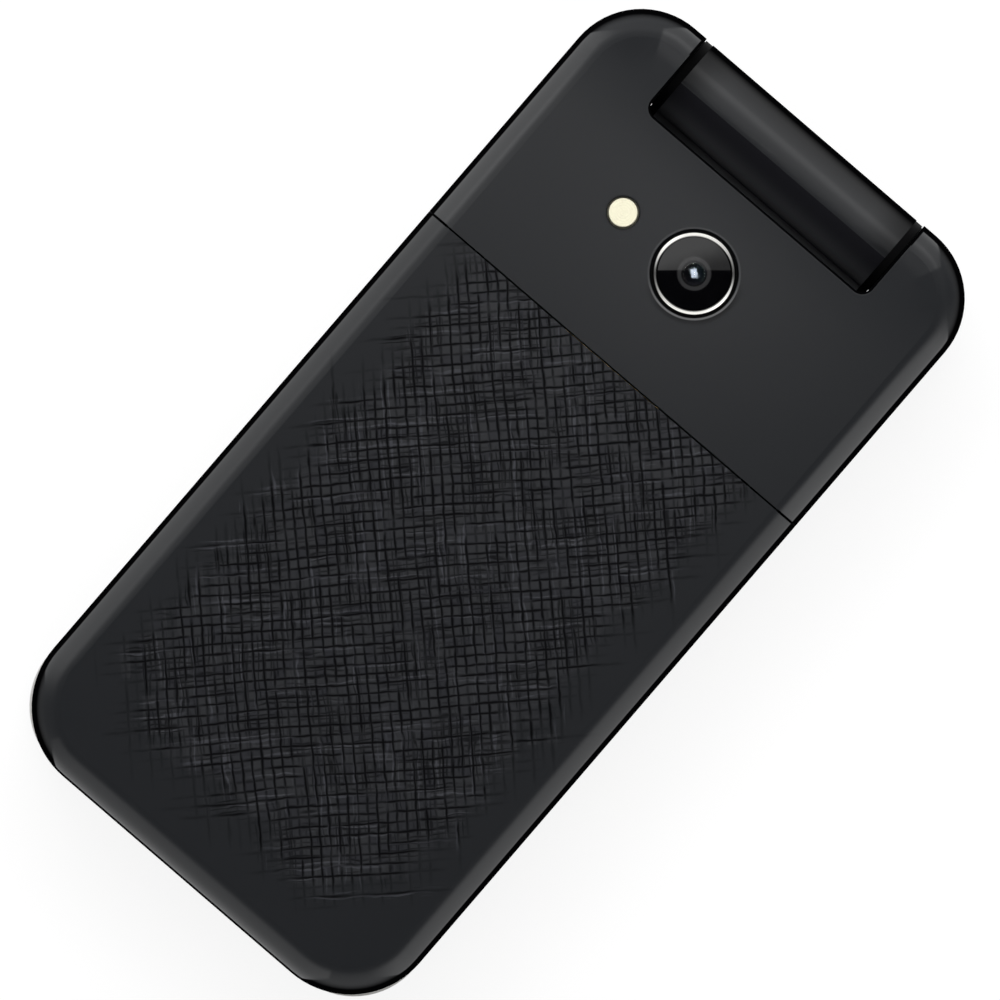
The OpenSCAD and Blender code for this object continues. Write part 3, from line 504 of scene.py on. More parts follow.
def bright_ring():
    """Polished ring with a painted reflection: a bright line painted round it, which narrows and
    dims towards the sides of the view, on metal painted near black beside it.
    """
    s = Shade("polished_ring_painted_reflection")
    place = s.place()
    x, y, _ = s.split(place)
    radius = s.from_axis(x, y, WINDOW_AT)
    up = photo_direction(0, 1)
    # Painted reflection: how near each point lies to the top or bottom of the view, where the
    # painted line is widest and palest
    height = abs((x - WINDOW_AT.x) * up.x + (y - WINDOW_AT.y) * up.y) / radius.larger(0.1)
    half_width = 0.1 + height.step(0.25, 0.95) * 0.15
    line = ((half_width - abs(radius - RING_LINE_R)) / 0.05).step(-1.0, 1.0)
    marks = s.noise(s.join(radius * 14.0, 0.0, 0.0), 1.0, 3.0)
    tint = s.mix(height.step(0.1, 0.8), (0.55, 0.55, 0.54), (0.98, 0.965, 0.92))
    tint = s.mix(marks * 0.25, tint, (0.6, 0.6, 0.58))
    tint = s.mix(line, (0.02, 0.02, 0.021), tint)
    relief = s.bump(marks, 0.004)
    return s.done(s.surface(tint, 0.06 + marks * 0.12, Normal=relief, Metallic=1.0))


def dark_window():
    """Domed glass printed black from behind, with a clear round aperture over the lens."""
    s = Shade("camera_window_glass")
    place = s.place()
    x, y, z = s.split(place)
    radius = s.from_axis(x, y, WINDOW_AT)
    outer_face = z.step(WINDOW_TOP - 0.4, WINDOW_TOP - 0.3)
    printed = radius.step(APERTURE_R - 0.03, APERTURE_R + 0.03)
    rim = radius.step(LENS_RING_R - 0.45, LENS_RING_R - 0.2)
    rim = rim * (1.0 - radius.step(LENS_RING_R, LENS_RING_R + 0.25))
    haze = s.noise(place, 0.8, 2.0)
    black = s.mix(haze, (0.0008, 0.0008, 0.0012), (0.0018, 0.0018, 0.0024))
    colour = s.mix(rim * (0.6 + haze * 0.8), black, (0.03, 0.03, 0.031))
    # Painted reflection: the clear coat grows from almost none at the middle to full towards the
    # top of the view, so the window mirrors the lights mainly on that half
    right, up = photo_direction(1, 0), photo_direction(0, 1)
    rise = up - 0.35 * right
    lift = (x - WINDOW_AT.x) * rise.x + (y - WINDOW_AT.y) * rise.y
    coat = 0.05 + (lift + haze * 0.6).step(0.0, 3.4) * 0.95
    return s.done(
        s.surface(
            colour, 0.03 + haze * 0.02, Alpha=printed.larger(outer_face * 0.15), IOR=1.45,
            Coat_Weight=coat, Coat_Roughness=0.02, Coat_IOR=1.75,
        )
    )


KNUCKLE_Y = (43.8, 44.2)
KNUCKLE_PAINTED_LIGHT_Z = (10.4, 14.0)


def inner_bezel():
    """Gloss black, but satin on the barrel, where the two halves turn past each other, and painted
    paler grey low on the barrel as painted light in the notch's shade.
    """
    s = Shade("black_inner_bezel")
    place = s.place()
    _, y, z = s.split(place)
    haze = s.noise(place, 0.8, 3.0)
    grain = s.noise(place, 4.0, 3.0)
    gloss = s.surface(
        s.mix(haze, (0.0026, 0.0026, 0.003), (0.0038, 0.0038, 0.0042)), 0.12 + haze * 0.05,
        Normal=s.bump(haze, 0.0015), Coat_Weight=0.5, Coat_Roughness=0.05,
    )
    satin_black = s.mix(grain, (0.0045, 0.0045, 0.006), (0.008, 0.008, 0.0105))
    # Painted light: the satin is paler grey low on the barrel, deep in the notch's shade
    satin_black = s.mix(1.0 - z.step(*KNUCKLE_PAINTED_LIGHT_Z), satin_black, (0.11, 0.113, 0.122))
    satin = s.surface(
        satin_black, 0.5 + grain * 0.1,
        Normal=s.bump(grain, 0.003), Specular_IOR_Level=0.08,
    )
    return s.done(mixed(s, y.step(*KNUCKLE_Y), gloss, satin))


def display_glass(name, centre, size, ground, pane):
    """Black-printed glass with the dull grey of a switched-off display behind its opening."""
    s = Shade(name)
    place = s.place()
    x, y, _ = s.split(place)
    across = size[0] / 2 - abs(x - centre.x)
    along = size[1] / 2 - abs(y - centre.y)
    inside = across.smaller(along).step(-0.05, 0.05)
    smear = s.noise(place, 0.12, 3.0)
    colour = s.mix(inside, ground, s.mix(smear, pane, tuple(c * 1.35 for c in pane)))
    return s.done(
        s.surface(colour, 0.05 + smear * 0.06, Normal=s.bump(smear, 0.001), Coat_Weight=0.5,
                  Coat_Roughness=0.02)
    )


def circuit_board():
    """Green solder resist with copper lands and dark parts in rows."""
    s = Shade("green_circuit_board")
    place = s.place()
    x, y, _ = s.split(place)
    tracks = line_across(x + s.noise(place, 0.25, 1.0) * 6.0, 1.3, 0.18)
    tracks = tracks.larger(line_across(y + s.noise(place, 0.2, 1.0) * 5.0, 1.7, 0.18))
    lands = 1.0 - s.node(
        "ShaderNodeTexVoronoi", {"Vector": place, "Scale": 0.7}, out="Distance"
    ).step(0.18, 0.24)
    colour = s.mix(tracks, (0.004, 0.03, 0.016), (0.008, 0.055, 0.028))
    colour = s.mix(lands, colour, (0.6, 0.42, 0.16))
    height = tracks * 0.4 + lands * 0.6
    return s.done(
        s.surface(colour, 0.35 + tracks * 0.1, Metallic=lands * 0.9, Normal=s.bump(height, 0.03))
    )


def wrapped_battery():
    """Dark shrink wrap with a soft fold along its sides."""
    s = Shade("battery_wrap")
    place = s.place()
    folds = s.noise(place, 0.5, 3.0)
    colour = s.mix(folds, (0.014, 0.014, 0.016), (0.026, 0.026, 0.029))
    return s.done(
        s.surface(colour, 0.3 + folds * 0.2, Normal=s.bump(folds, 0.05), Coat_Weight=0.4,
                  Coat_Roughness=0.2)
    )


def rubber():
    """Soft black rubber with a little dust."""
    s = Shade("soft_black_rubber")
    place = s.place()
    dust = s.noise(place, 4.0, 4.0, 0.7)
    colour = s.mix(dust.step(0.45, 0.8), (0.009, 0.009, 0.009), (0.03, 0.03, 0.029))
    return s.done(s.surface(colour, 0.7 + dust * 0.2, Normal=s.bump(dust, 0.02)))


KEY_BLACK = (0.014, 0.014, 0.0155)
FIGURE_WHITE = (0.62, 0.63, 0.64)
FIGURE_GREEN = (0.03, 0.36, 0.09)
FIGURE_RED = (0.5, 0.03, 0.025)

WINDOW_PANE = (46.0, 62.0)
OUTER_PANE = (29.0, 36.0)

finishes = {
    "housing": back_shell(),
    "textured_cover": hatched_cover(),
    "deck": moulded_deck(),
    "gloss_black": plain(
        "gloss_black_plastic", (0.0032, 0.0032, 0.0036), 0.14, 0.0015, 0.8,
        Coat_Weight=0.5, Coat_Roughness=0.05,
    ),
    "key_plastic": plain("satin_key_plastic", KEY_BLACK, 0.36, 0.003, 4.0),
    "key_green": plain("satin_call_key_plastic", KEY_BLACK, 0.36, 0.003, 4.0),
    "key_red": plain("satin_end_key_plastic", KEY_BLACK, 0.36, 0.003, 4.0),
    "nav_metal": turned_metal("dark_turned_metal", (0.16, 0.16, 0.17), NAV_AT, 0.26),
    "bright_trim": plain("bright_trim_lacquer", (0.93, 0.92, 0.89), 0.3, 0.002, 2.0),
    "polished_ring": bright_ring(),
    "clear_glass": dark_window(),
    "black_glass": display_glass(
        "main_window_glass", centre_mm("display_window"), WINDOW_PANE,
        (0.0015, 0.0015, 0.0018), (0.006, 0.0065, 0.0075),
    ),
    "display": plain("display_module_back", (0.02, 0.02, 0.022), 0.3, 0.003, 1.0),
    "flash_cream": plain("cream_flash_lens", (1.0, 0.96, 0.73), 0.28, 0.002, 2.0),
    "circuit_board": circuit_board(),
    "steel": brushed_metal("brushed_steel", (0.56, 0.56, 0.57), 0.28),
    "mesh": plain("dark_mesh_metal", (0.07, 0.07, 0.075), 0.35, 0.01, 5.0, Metallic=1.0),
    "gold_contact": brushed_metal("gold_plate", (0.83, 0.6, 0.25), 0.22),
    "flex_film": plain("amber_film", (0.42, 0.18, 0.035), 0.28, 0.003, 2.0, Coat_Weight=0.4),
    "battery_wrap": wrapped_battery(),
    "soft_rubber": rubber(),
}

special_finishes = {
    "lid_outer_cover": display_shell(),
    "outer_window": display_glass(
        "outer_window_glass", centre_mm("outer_window"), OUTER_PANE,
        (0.0015, 0.0015, 0.0018), (0.007, 0.0075, 0.0085),
    ),
    "hinge_caps": plain(
        "matt_black_caps", (0.0022, 0.0022, 0.0025), 0.6, 0.004, 4.0, Specular_IOR_Level=0.05
    ),
    "camera_bezel": plain(
        "matt_black_collar", (0.0016, 0.0016, 0.0018), 0.5, 0.003, 4.0, Specular_IOR_Level=0.05
    ),
    "lid_inner_bezel": inner_bezel(),
}
figure_finishes = {
    "white": plain("figure_white", FIGURE_WHITE, 0.45, 0.001, 6.0),
    "green": plain("figure_green", FIGURE_GREEN, 0.4, 0.001, 6.0),
    "red": plain("figure_red", FIGURE_RED, 0.4, 0.001, 6.0),
}
lens_glass = plain(
    "coated_lens_glass", (0.0012, 0.0016, 0.003), 0.02, 0.0002, 1.0, IOR=1.45,
    Specular_Tint=(0.75, 0.85, 1.0),
)


def dress_frame():
    """Gives every CAD node the finish of its material slot, or its own."""
    for row in frame["record"]["subparts"]:
        mesh = nodes[row["node"]].data
        mesh.materials.clear()
        mesh.materials.append(special_finishes.get(row["node"], finishes[row["material_slot"]]))


# ---------------------------------------------------------------- making pieces


def add_piece(name, mesh, material, body, replaced=()):
    """Puts a mesh, whose points are in millimetres, into the scene on its body."""
    mesh.transform(Matrix.Scale(MM, 4))
    mesh.materials.append(material)
    mesh.shade_smooth()
    mesh.set_sharp_from_angle(angle=math.radians(35))
    piece = bpy.data.objects.new(name, mesh)
    bpy.context.scene.collection.objects.link(piece)
    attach(piece, body)
    if replaced:
        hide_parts(*replaced)
    return piece


def mesh_from(name, build):
    """Mesh that build fills in as a bmesh, with its faces turned outwards."""
    work = bmesh.new()
    build(work)
    bmesh.ops.recalc_face_normals(work, faces=work.faces)
    mesh = bpy.data.meshes.new(name)
    work.to_mesh(mesh)
    work.free()
    return mesh


def skin(work, rings, capped=True):
    """Faces between closed rings of points that have as many points each. Returns the rings."""
    made = [[work.verts.new(p) for p in ring] for ring in rings]
    for low, high in zip(made, made[1:]):
        for i in range(len(low)):
            j = (i + 1) % len(low)
            work.faces.new((low[i], low[j], high[j], high[i]))
    if capped:
        for ring in (made[0], made[-1]):
            work.faces.new(ring)
    return made


def close_with_point(work, rings, centre):
    """Rings that shrink to a point in the middle, which closes a domed face."""
    made = skin(work, rings, capped=False)
    tip = work.verts.new(centre)
    last = made[-1]
    for i in range(len(last)):
        work.faces.new((last[i], last[(i + 1) % len(last)], tip))
    work.faces.new(made[0])


def turned(work, profile, centre, steps=96):
    """Solid of revolution about a vertical line. The profile is (radius, z) from r = 0 to r = 0,
    or a closed outline for a ring."""
    closed = profile[0][0] > 0
    rings = []
    for radius, z in profile:
        if radius == 0:
            rings.append([work.verts.new((centre[0], centre[1], z))])
            continue
        ring = []
        for i in range(steps):
            turn = 2 * math.pi * i / steps
            x = centre[0] + radius * math.cos(turn)
            y = centre[1] + radius * math.sin(turn)
            ring.append(work.verts.new((x, y, z)))
        rings.append(ring)
    pairs = list(zip(rings, rings[1:]))
    if closed:
        pairs.append((rings[-1], rings[0]))
    for low, high in pairs:
        for i in range(steps):
            j = (i + 1) % steps
            if len(low) == 1:
                work.faces.new((low[0], high[j], high[i]))
            elif len(high) == 1:
                work.faces.new((low[i], low[j], high[0]))
            else:
                work.faces.new((low[i], low[j], high[j], high[i]))


def rounded_loop(size, radius, centre, z, steps=8):
    """Points round a rounded rectangle at one height."""
    half_x, half_y = size[0] / 2, size[1] / 2
    radius = min(radius, half_x, half_y)
    points = []
    for quarter, (sx, sy) in enumerate([(1, 1), (-1, 1), (-1, -1), (1, -1)]):
        for i in range(steps + 1):
            turn = math.pi / 2 * (quarter + i / steps)
            x = centre[0] + sx * (half_x - radius) + radius * math.cos(turn)
            y = centre[1] + sy * (half_y - radius) + radius * math.sin(turn)
            points.append((x, y, z))
    return points


# ---------------------------------------------------------------- camera and flash

WINDOW_RISE = 0.24
LENS_R = 1.24
LENS_SPHERE_R = 150.0
LENS_TOP_Z = 17.04


def camera_window():
    """Domed cover glass over the camera."""
    bottom = WINDOW_TOP - 0.7
    edge = 0.08
    sphere_r = (WINDOW_R**2 + WINDOW_RISE**2) / (2 * WINDOW_RISE)
    profile = [(0, bottom), (WINDOW_R - 0.1, bottom), (WINDOW_R, bottom + 0.1)]
    profile.append((WINDOW_R, WINDOW_TOP - edge))
    for i in range(12):
        r = (WINDOW_R - edge / 2) * math.cos(math.pi / 2 * i / 12)
        z = WINDOW_TOP + WINDOW_RISE - (sphere_r - math.sqrt(sphere_r**2 - r**2))
        profile.append((r, z))
    profile.append((0, WINDOW_TOP + WINDOW_RISE))
    mesh = mesh_from("camera_window_dome", lambda work: turned(work, profile, WINDOW_AT))
    add_piece(
        "camera_window_dome", mesh, finishes["clear_glass"], "base",
        ["camera_window"],
    )


def camera_ring():
    """Polished ring, which curves down towards the window."""
    low, high = box_mm("camera_ring")
    outer_r = (high.x - low.x) / 2 - 0.07
    inner_r = outer_r - 0.42
    crest_r = outer_r - 0.06
    fall = 0.3
    profile = [(inner_r, low.z), (outer_r, low.z), (outer_r, high.z - 0.1)]
    profile.append((outer_r - 0.02, high.z - 0.03))
    for i in range(11):
        part = i / 10
        r = crest_r + (inner_r - crest_r) * part
        profile.append((r, high.z - fall * (0.45 * part + 0.55 * part**2)))
    mesh = mesh_from("camera_ring_bright", lambda work: turned(work, profile, WINDOW_AT, 128))
    add_piece(
        "camera_ring_bright", mesh, finishes["polished_ring"], "base",
        ["camera_ring"],
    )


def front_lens():
    """Small coated lens under the window."""
    low_z = LENS_TOP_Z - (LENS_SPHERE_R - math.sqrt(LENS_SPHERE_R**2 - LENS_R**2))
    profile = [(0, low_z - 0.1), (LENS_R, low_z - 0.1)]
    for i in range(12):
        r = LENS_R * math.cos(math.pi / 2 * i / 12)
        z = LENS_TOP_Z - (LENS_SPHERE_R - math.sqrt(LENS_SPHERE_R**2 - r**2))
        profile.append((r, z))
    profile.append((0, LENS_TOP_Z))
    mesh = mesh_from("front_lens", lambda work: turned(work, profile, WINDOW_AT, 64))
    add_piece("front_lens", mesh, lens_glass, "base")


def flash_lens():
    """Cream lens with shallow rings in its face."""
    low, high = box_mm("flash_window")
    flange_r = (high.x - low.x) / 2
    lens_r = flange_r - 0.6
    flange_z = low.z + 0.8
    profile = [(0, low.z), (flange_r, low.z), (flange_r, flange_z), (lens_r, flange_z)]
    profile += [(lens_r, FLASH_TOP - 0.12), (lens_r - 0.05, FLASH_TOP - 0.05)]
    ring_count = 5
    flat_r = lens_r - 0.12
    for i in range(ring_count * 4):
        part = i / (ring_count * 4)
        r = flat_r * (1 - part)
        ripple = 0.012 * math.cos(2 * math.pi * ring_count * part)
        profile.append((r, FLASH_TOP - 0.025 + ripple))
    profile.append((0, FLASH_TOP - 0.01))
    mesh = mesh_from("flash_lens", lambda work: turned(work, profile, FLASH_AT, 64))
    add_piece(
        "flash_lens", mesh, finishes["flash_cream"], "base", ["flash_window"]
    )


# ---------------------------------------------------------------- keypad

NUMBER_KEYS = {
    "key_1": "1", "key_2": "2", "key_3": "3", "key_4": "4", "key_5": "5", "key_6": "6",
    "key_7": "7", "key_8": "8", "key_9": "9", "key_star": "*", "key_0": "0", "key_hash": "#",
}
FUNCTION_KEYS = ("key_soft_left", "key_soft_right", "key_call", "key_end")
KEY_CORNER_R = 3.0
KEY_PILLOW = 0.1
KEY_EDGE = 0.45
FLANGE_Z = 8.75
FIGURE_HEIGHT = 5.4
FIGURE_THICK = 0.06


def key_cap(node, slot):
    """Pillowed key with a rounded edge, a flange behind the deck and a post."""
    low, high = box_mm(node)
    centre = (low + high) / 2
    flange_size = (high.x - low.x, high.y - low.y)
    cap_size = (flange_size[0] - 0.8, flange_size[1] - 0.8)
    face_z = low.z

    def loop(inset, z):
        size = (cap_size[0] - 2 * inset, cap_size[1] - 2 * inset)
        return rounded_loop(size, KEY_CORNER_R - inset, centre, z)

    def build(work):
        rings = [
            rounded_loop(flange_size, KEY_CORNER_R + 0.4, centre, FLANGE_Z + 0.4),
            rounded_loop(flange_size, KEY_CORNER_R + 0.4, centre, FLANGE_Z),
            loop(0, FLANGE_Z),
        ]
        for i in range(7):
            turn = math.pi / 2 * i / 6
            inset = KEY_EDGE * (1 - math.cos(turn))
            rings.append(loop(inset, face_z + KEY_PILLOW + KEY_EDGE * (1 - math.sin(turn))))
        outer = loop(KEY_EDGE, 0)
        for part in (0.85, 0.65, 0.4):
            z = face_z + KEY_PILLOW * part**2
            ring = [
                (centre.x + (x - centre.x) * part, centre.y + (y - centre.y) * part, z)
                for x, y, _ in outer
            ]
            rings.append(ring)
        close_with_point(work, rings, (centre.x, centre.y, face_z))
        turned(work, [(0, FLANGE_Z + 0.4), (1.5, FLANGE_Z + 0.4), (1.5, high.z), (0, high.z)],
               centre, 32)

    mesh = mesh_from(node + "_cap", build)
    add_piece(node + "_cap", mesh, finishes[slot], node, [node])


def facing_down(centre, z):
    """Turns a drawing's plane to face down at z, upright when the keypad is read."""
    flip = Matrix.Rotation(math.pi, 4, "Y")
    return Matrix.Translation((centre.x, centre.y, z)) @ flip


def figure(node, text):
    """Raised figure on a key's face."""
    curve = bpy.data.curves.new(node + "_figure", "FONT")
    curve.body = text
    curve.size = FIGURE_HEIGHT * 1.35
    curve.align_x = "CENTER"
    curve.align_y = "CENTER"
    curve.extrude = FIGURE_THICK / 2
    curve.resolution_u = 6
    holder = bpy.data.objects.new(node + "_drawing", curve)
    bpy.context.scene.collection.objects.link(holder)
    bpy.context.view_layer.update()
    evaluated = holder.evaluated_get(bpy.context.evaluated_depsgraph_get())
    mesh = bpy.data.meshes.new_from_object(evaluated)
    bpy.data.objects.remove(holder)
    bpy.data.curves.remove(curve)
    mesh.materials.clear()
    xs = [v.co.x for v in mesh.vertices]
    ys = [v.co.y for v in mesh.vertices]
    middle = Vector(((min(xs) + max(xs)) / 2, (min(ys) + max(ys)) / 2, 0))
    mesh.transform(Matrix.Translation(-middle))
    face_z = box_mm(node)[0].z
    mesh.transform(facing_down(centre_mm(node), face_z + 0.02))
    add_piece(node + "_figure", mesh, figure_finishes["white"], node)


def mark(node, outline, colour, name="mark"):
    """Raised flat mark on a key's face, from its outline in the key's own plane."""
    face_z = box_mm(node)[0].z
    place = facing_down(centre_mm(node), face_z + 0.02)

    def build(work):
        rings = []
        for height in (-FIGURE_THICK / 2, FIGURE_THICK / 2):
            rings.append([tuple(place @ Vector((x, y, height))) for x, y in outline])
        skin(work, rings)

    mesh = mesh_from(f"{node}_{name}", build)
    add_piece(f"{node}_{name}", mesh, figure_finishes[colour], node)


def handset_outline(turn):
    """Side view of a telephone handset, turned by that many degrees."""
    outer_r, inner_r, spread = 3.1, 2.35, math.radians(52)
    steps = 14
    arc = [spread * (2 * i / steps - 1) for i in range(steps + 1)]
    points = [(outer_r * math.sin(a), outer_r * math.cos(a)) for a in arc]
    ear_out = (outer_r * math.sin(spread), outer_r * math.cos(spread) - 1.15)
    ear_in = (ear_out[0] - 1.1, ear_out[1] - 0.05)
    points += [ear_out, ear_in]
    points += [(inner_r * math.sin(a) * 0.7, inner_r * math.cos(a)) for a in reversed(arc)]
    points += [(-ear_in[0], ear_in[1]), (-ear_out[0], ear_out[1])]
    lift = -2.0
    c, s = math.cos(math.radians(turn)), math.sin(math.radians(turn))
    return [(x * c - (y + lift) * s, x * s + (y + lift) * c) for x, y in points]


def bar_outline(length, height):
    """Bar with round ends."""
    r = height / 2
    points = []
    for side in (1, -1):
        for i in range(9):
            turn = math.pi * (i / 8 - 0.5)
            points.append((side * (length / 2 - r + r * math.cos(turn)), side * r * math.sin(turn)))
    return points


def ok_key():
    """Round centre key with a dished face."""
    low, high = box_mm("key_ok")
    centre = (low + high) / 2
    flange_r = (high.x - low.x) / 2
    face_r = flange_r - 0.5
    flange_z = high.z - 0.1
    profile = [(0, high.z), (flange_r, high.z), (flange_r, flange_z), (face_r, flange_z)]
    edge = 0.35
    for i in range(7):
        turn = math.pi / 2 * i / 6
        profile.append((face_r - edge * (1 - math.cos(turn)), low.z + edge * (1 - math.sin(turn))))
    dish = 0.12
    for part in (0.9, 0.75, 0.6, 0.45, 0.3, 0.15):
        r = (face_r - edge) * part
        profile.append((r, low.z + dish * (1 - part**2)))
    profile.append((0, low.z + dish))
    mesh = mesh_from("key_ok_cap", lambda work: turned(work, profile, centre))
    add_piece("key_ok_cap", mesh, finishes["nav_metal"], "key_ok", ["key_ok"])


def nav_marks():
    """Four small dots on the navigation ring."""
    dot_r = 0.42
    reach = 7.6
    face_z = box_mm("nav_ring")[0].z

    def build(work):
        for i in range(4):
            turn = math.pi / 2 * i
            at = (NAV_AT.x + reach * math.cos(turn), NAV_AT.y + reach * math.sin(turn))
            top, bottom = face_z - 0.012, face_z + 0.05
            profile = [(0, bottom), (dot_r, bottom), (dot_r, top + 0.02), (dot_r - 0.06, top)]
            turned(work, profile + [(0, top)], at, 24)

    mesh = mesh_from("nav_ring_dots", build)
    add_piece("nav_ring_dots", mesh, figure_finishes["white"], "nav_ring")


def make_keypad():
    for node, text in NUMBER_KEYS.items():
        key_cap(node, "key_plastic")
        figure(node, text)
    slots = {"key_call": "key_green", "key_end": "key_red"}
    for node in FUNCTION_KEYS:
        key_cap(node, slots.get(node, "key_plastic"))
    mark("key_soft_left", bar_outline(3.6, 0.6), "white")
    mark("key_soft_right", bar_outline(3.6, 0.6), "white")
    mark("key_call", handset_outline(45), "green")
    mark("key_end", handset_outline(0), "red")
    ok_key()
    nav_marks()


# ---------------------------------------------------------------- small parts


def bumpers():
    """Four rubber bumpers with rounded edges."""
    low, high = box_mm("lid_bumpers")
    radius = 1.6
    edge = 0.35
    places = [(sx * (high.x - radius), y) for sx in (1, -1)
              for y in (high.y - radius, low.y + radius)]

    def build(work):
        for at in places:
            profile = [(0, low.z), (radius, low.z)]
            for i in range(6):
                turn = math.pi / 2 * i / 5
                r = radius - edge * (1 - math.cos(turn))
                profile.append((r, high.z - edge * (1 - math.sin(turn))))
            profile += [(radius * 0.5, high.z - 0.03), (0, high.z - 0.06)]
            turned(work, profile, at, 40)

    mesh = mesh_from("rubber_bumpers", build)
    add_piece(
        "rubber_bumpers", mesh, finishes["soft_rubber"], "lid", ["lid_bumpers"]
    )


def earpiece_mesh():
    """Perforated plate in the earpiece slot."""
    low, high = box_mm("receiver_mesh")
    centre = (low + high) / 2
    pitch = 0.56
    hole_r = 0.19
    columns = int((high.x - low.x - 0.3) / pitch)
    rows = int((high.y - low.y) / pitch)
    top, bottom = high.z, high.z - 0.25

    def cell(work, cx, cy, side, front, back):
        """One cell with its round hole, as a tube of square outside and round inside."""
        rim = []
        hole = []
        for i in range(16):
            turn = 2 * math.pi * (i + 0.5) / 16
            c, s = math.cos(turn), math.sin(turn)
            stretch = 1 / max(abs(c), abs(s))
            x = cx + c * stretch * side
            y = cy + s * stretch * (back if s > 0 else front)
            rim.append((x, y))
            hole.append((cx + hole_r * c, cy + hole_r * s))
        loops = [(rim, top), (hole, top), (hole, bottom), (rim, bottom), (rim, top)]
        rings = [[(x, y, z) for x, y in loop] for loop, z in loops]
        skin(work, rings, capped=False)

    def build(work):
        for i in range(columns):
            for j in range(rows):
                cx = centre.x + (i - (columns - 1) / 2) * pitch
                cy = centre.y + (j - (rows - 1) / 2) * pitch
                half = pitch / 2
                outer = (high.y - low.y - rows * pitch) / 2 + half
                front = outer if j == 0 else half
                back = outer if j == rows - 1 else half
                cell(work, cx, cy, half, front, back)
        bmesh.ops.remove_doubles(work, verts=work.verts, dist=0.001)

    mesh = mesh_from("earpiece_mesh", build)
    add_piece("earpiece_mesh", mesh, finishes["mesh"], "lid", ["receiver_mesh"])


def volume_rocker():
    """Side key with a rounded outer face and a shallow waist between its two ends."""
    low, high = box_mm("volume_key")
    flange_x = low.x + 0.5
    overhang = 0.9
    y0, y1 = low.y + overhang, high.y - overhang
    z0, z1 = low.z + 0.5, high.z - 0.5
    middle_y, middle_z = (y0 + y1) / 2, (z0 + z1) / 2
    steps = 24

    def section(part):
        """Ring of points across the key at one place along it."""
        y = y0 + (y1 - y0) * part
        near_end = min(part, 1 - part) * (y1 - y0)
        rounding = 0.5 * max(0.0, 1 - near_end / 0.6) ** 2
        waist = 0.22 * math.exp(-(((y - middle_y) / 1.6) ** 2))
        out_x = high.x - waist - rounding
        half = (z1 - z0) / 2 - rounding * 0.4
        points = [(flange_x - 0.2, y, middle_z - half)]
        for i in range(9):
            turn = math.pi * (i / 8 - 0.5)
            x = out_x - 0.35 + 0.35 * math.cos(turn)
            points.append((x, y, middle_z + half * math.sin(turn)))
        points.append((flange_x - 0.2, y, middle_z + half))
        return points

    def build(work):
        skin(work, [section(i / steps) for i in range(steps + 1)])
        flange = [(low.y, low.z), (high.y, low.z), (high.y, high.z), (low.y, high.z)]
        skin(work, [[(x, y, z) for y, z in flange] for x in (low.x, flange_x)])

    mesh = mesh_from("volume_rocker", build)
    add_piece(
        "volume_rocker", mesh, finishes["key_plastic"], "volume_key",
        ["volume_key"],
    )


def socket_contacts():
    """Gold strips on the tongue of the charging socket."""
    low, high = box_mm("usb_connector")
    middle_z = (low.z + high.z) / 2
    count = 5
    pitch = 1.15
    strip = (0.45, 3.6, 0.05)

    def build(work):
        for i in range(count):
            x = (i - (count - 1) / 2) * pitch
            for side in (1, -1):
                z = middle_z + side * 0.36
                at = Vector((x, low.y + 0.5 + strip[1] / 2, z))
                size = Matrix.Diagonal((*strip, 1.0))
                bmesh.ops.create_cube(work, size=1.0, matrix=Matrix.Translation(at) @ size)
        bmesh.ops.bevel(
            work, geom=list(work.edges), offset=0.015, segments=1, affect="EDGES"
        )

    mesh = mesh_from("socket_contacts", build)
    add_piece("socket_contacts", mesh, finishes["gold_contact"], "base")


def battery_pads():
    """Three gold pads on the end of the battery."""
    low, high = box_mm("battery")
    z = (low.z + high.z) / 2

    def build(work):
        for x in (-4.5, 0.0, 4.5):
            rings = []
            for y, inset in ((high.y - 0.1, 0), (high.y + 0.04, 0), (high.y + 0.06, 0.1)):
                loop = rounded_loop((2.2 - inset, 1.8 - inset), 0.3, (x, z), y, 4)
                rings.append([(px, py, pz) for px, pz, py in loop])
            skin(work, rings)

    mesh = mesh_from("battery_pads", build)
    add_piece("battery_pads", mesh, finishes["gold_contact"], "base")


# ---------------------------------------------------------------- studio

FLOOR_HALF = 3.0
FLOOR_DROP = 0.05
OVERHEAD_SIZE = (0.5, 0.3)
OVERHEAD_HEIGHT = 0.34
OVERHEAD_RADIANCE = 0.56
KEY_SIZE = (0.5, 0.4)
KEY_RADIANCE = 2.0
CATCH_SIZE = (0.0038, 0.0058)
CATCH_RADIANCE = 32.0


def make_floor():
    """Plain white floor, which shows pure white and keeps a soft shadow."""
    mesh = bpy.data.meshes.new("floor")
    corners = [(-1, -1), (1, -1), (1, 1), (-1, 1)]
    mesh.from_pydata(
        [(x * FLOOR_HALF, y * FLOOR_HALF, -FLOOR_DROP * MM) for x, y in corners], [], [(0, 1, 2, 3)]
    )
    floor = bpy.data.objects.new("floor", mesh)
    bpy.context.scene.collection.objects.link(floor)
    s = Shade("floor_white")
    path = s.node("ShaderNodeLightPath").socket.node.outputs
    seen = Value(s, path["Is Camera Ray"]).larger(Value(s, path["Is Glossy Ray"]))
    seen = seen.larger(Value(s, path["Is Transmission Ray"]))
    lit = s.node("ShaderNodeBsdfDiffuse", {"Color": (0.8, 0.8, 0.8)})
    shadow_lit = s.node("ShaderNodeBsdfDiffuse", {"Color": (0.22, 0.22, 0.22)})
    glow = s.node("ShaderNodeEmission", {"Color": (1, 1, 1), "Strength": 0.83})
    shown = s.node("ShaderNodeAddShader", {0: shadow_lit, 1: glow})
    mesh.materials.append(s.done(s.node("ShaderNodeMixShader", {0: seen, 1: lit, 2: shown})))


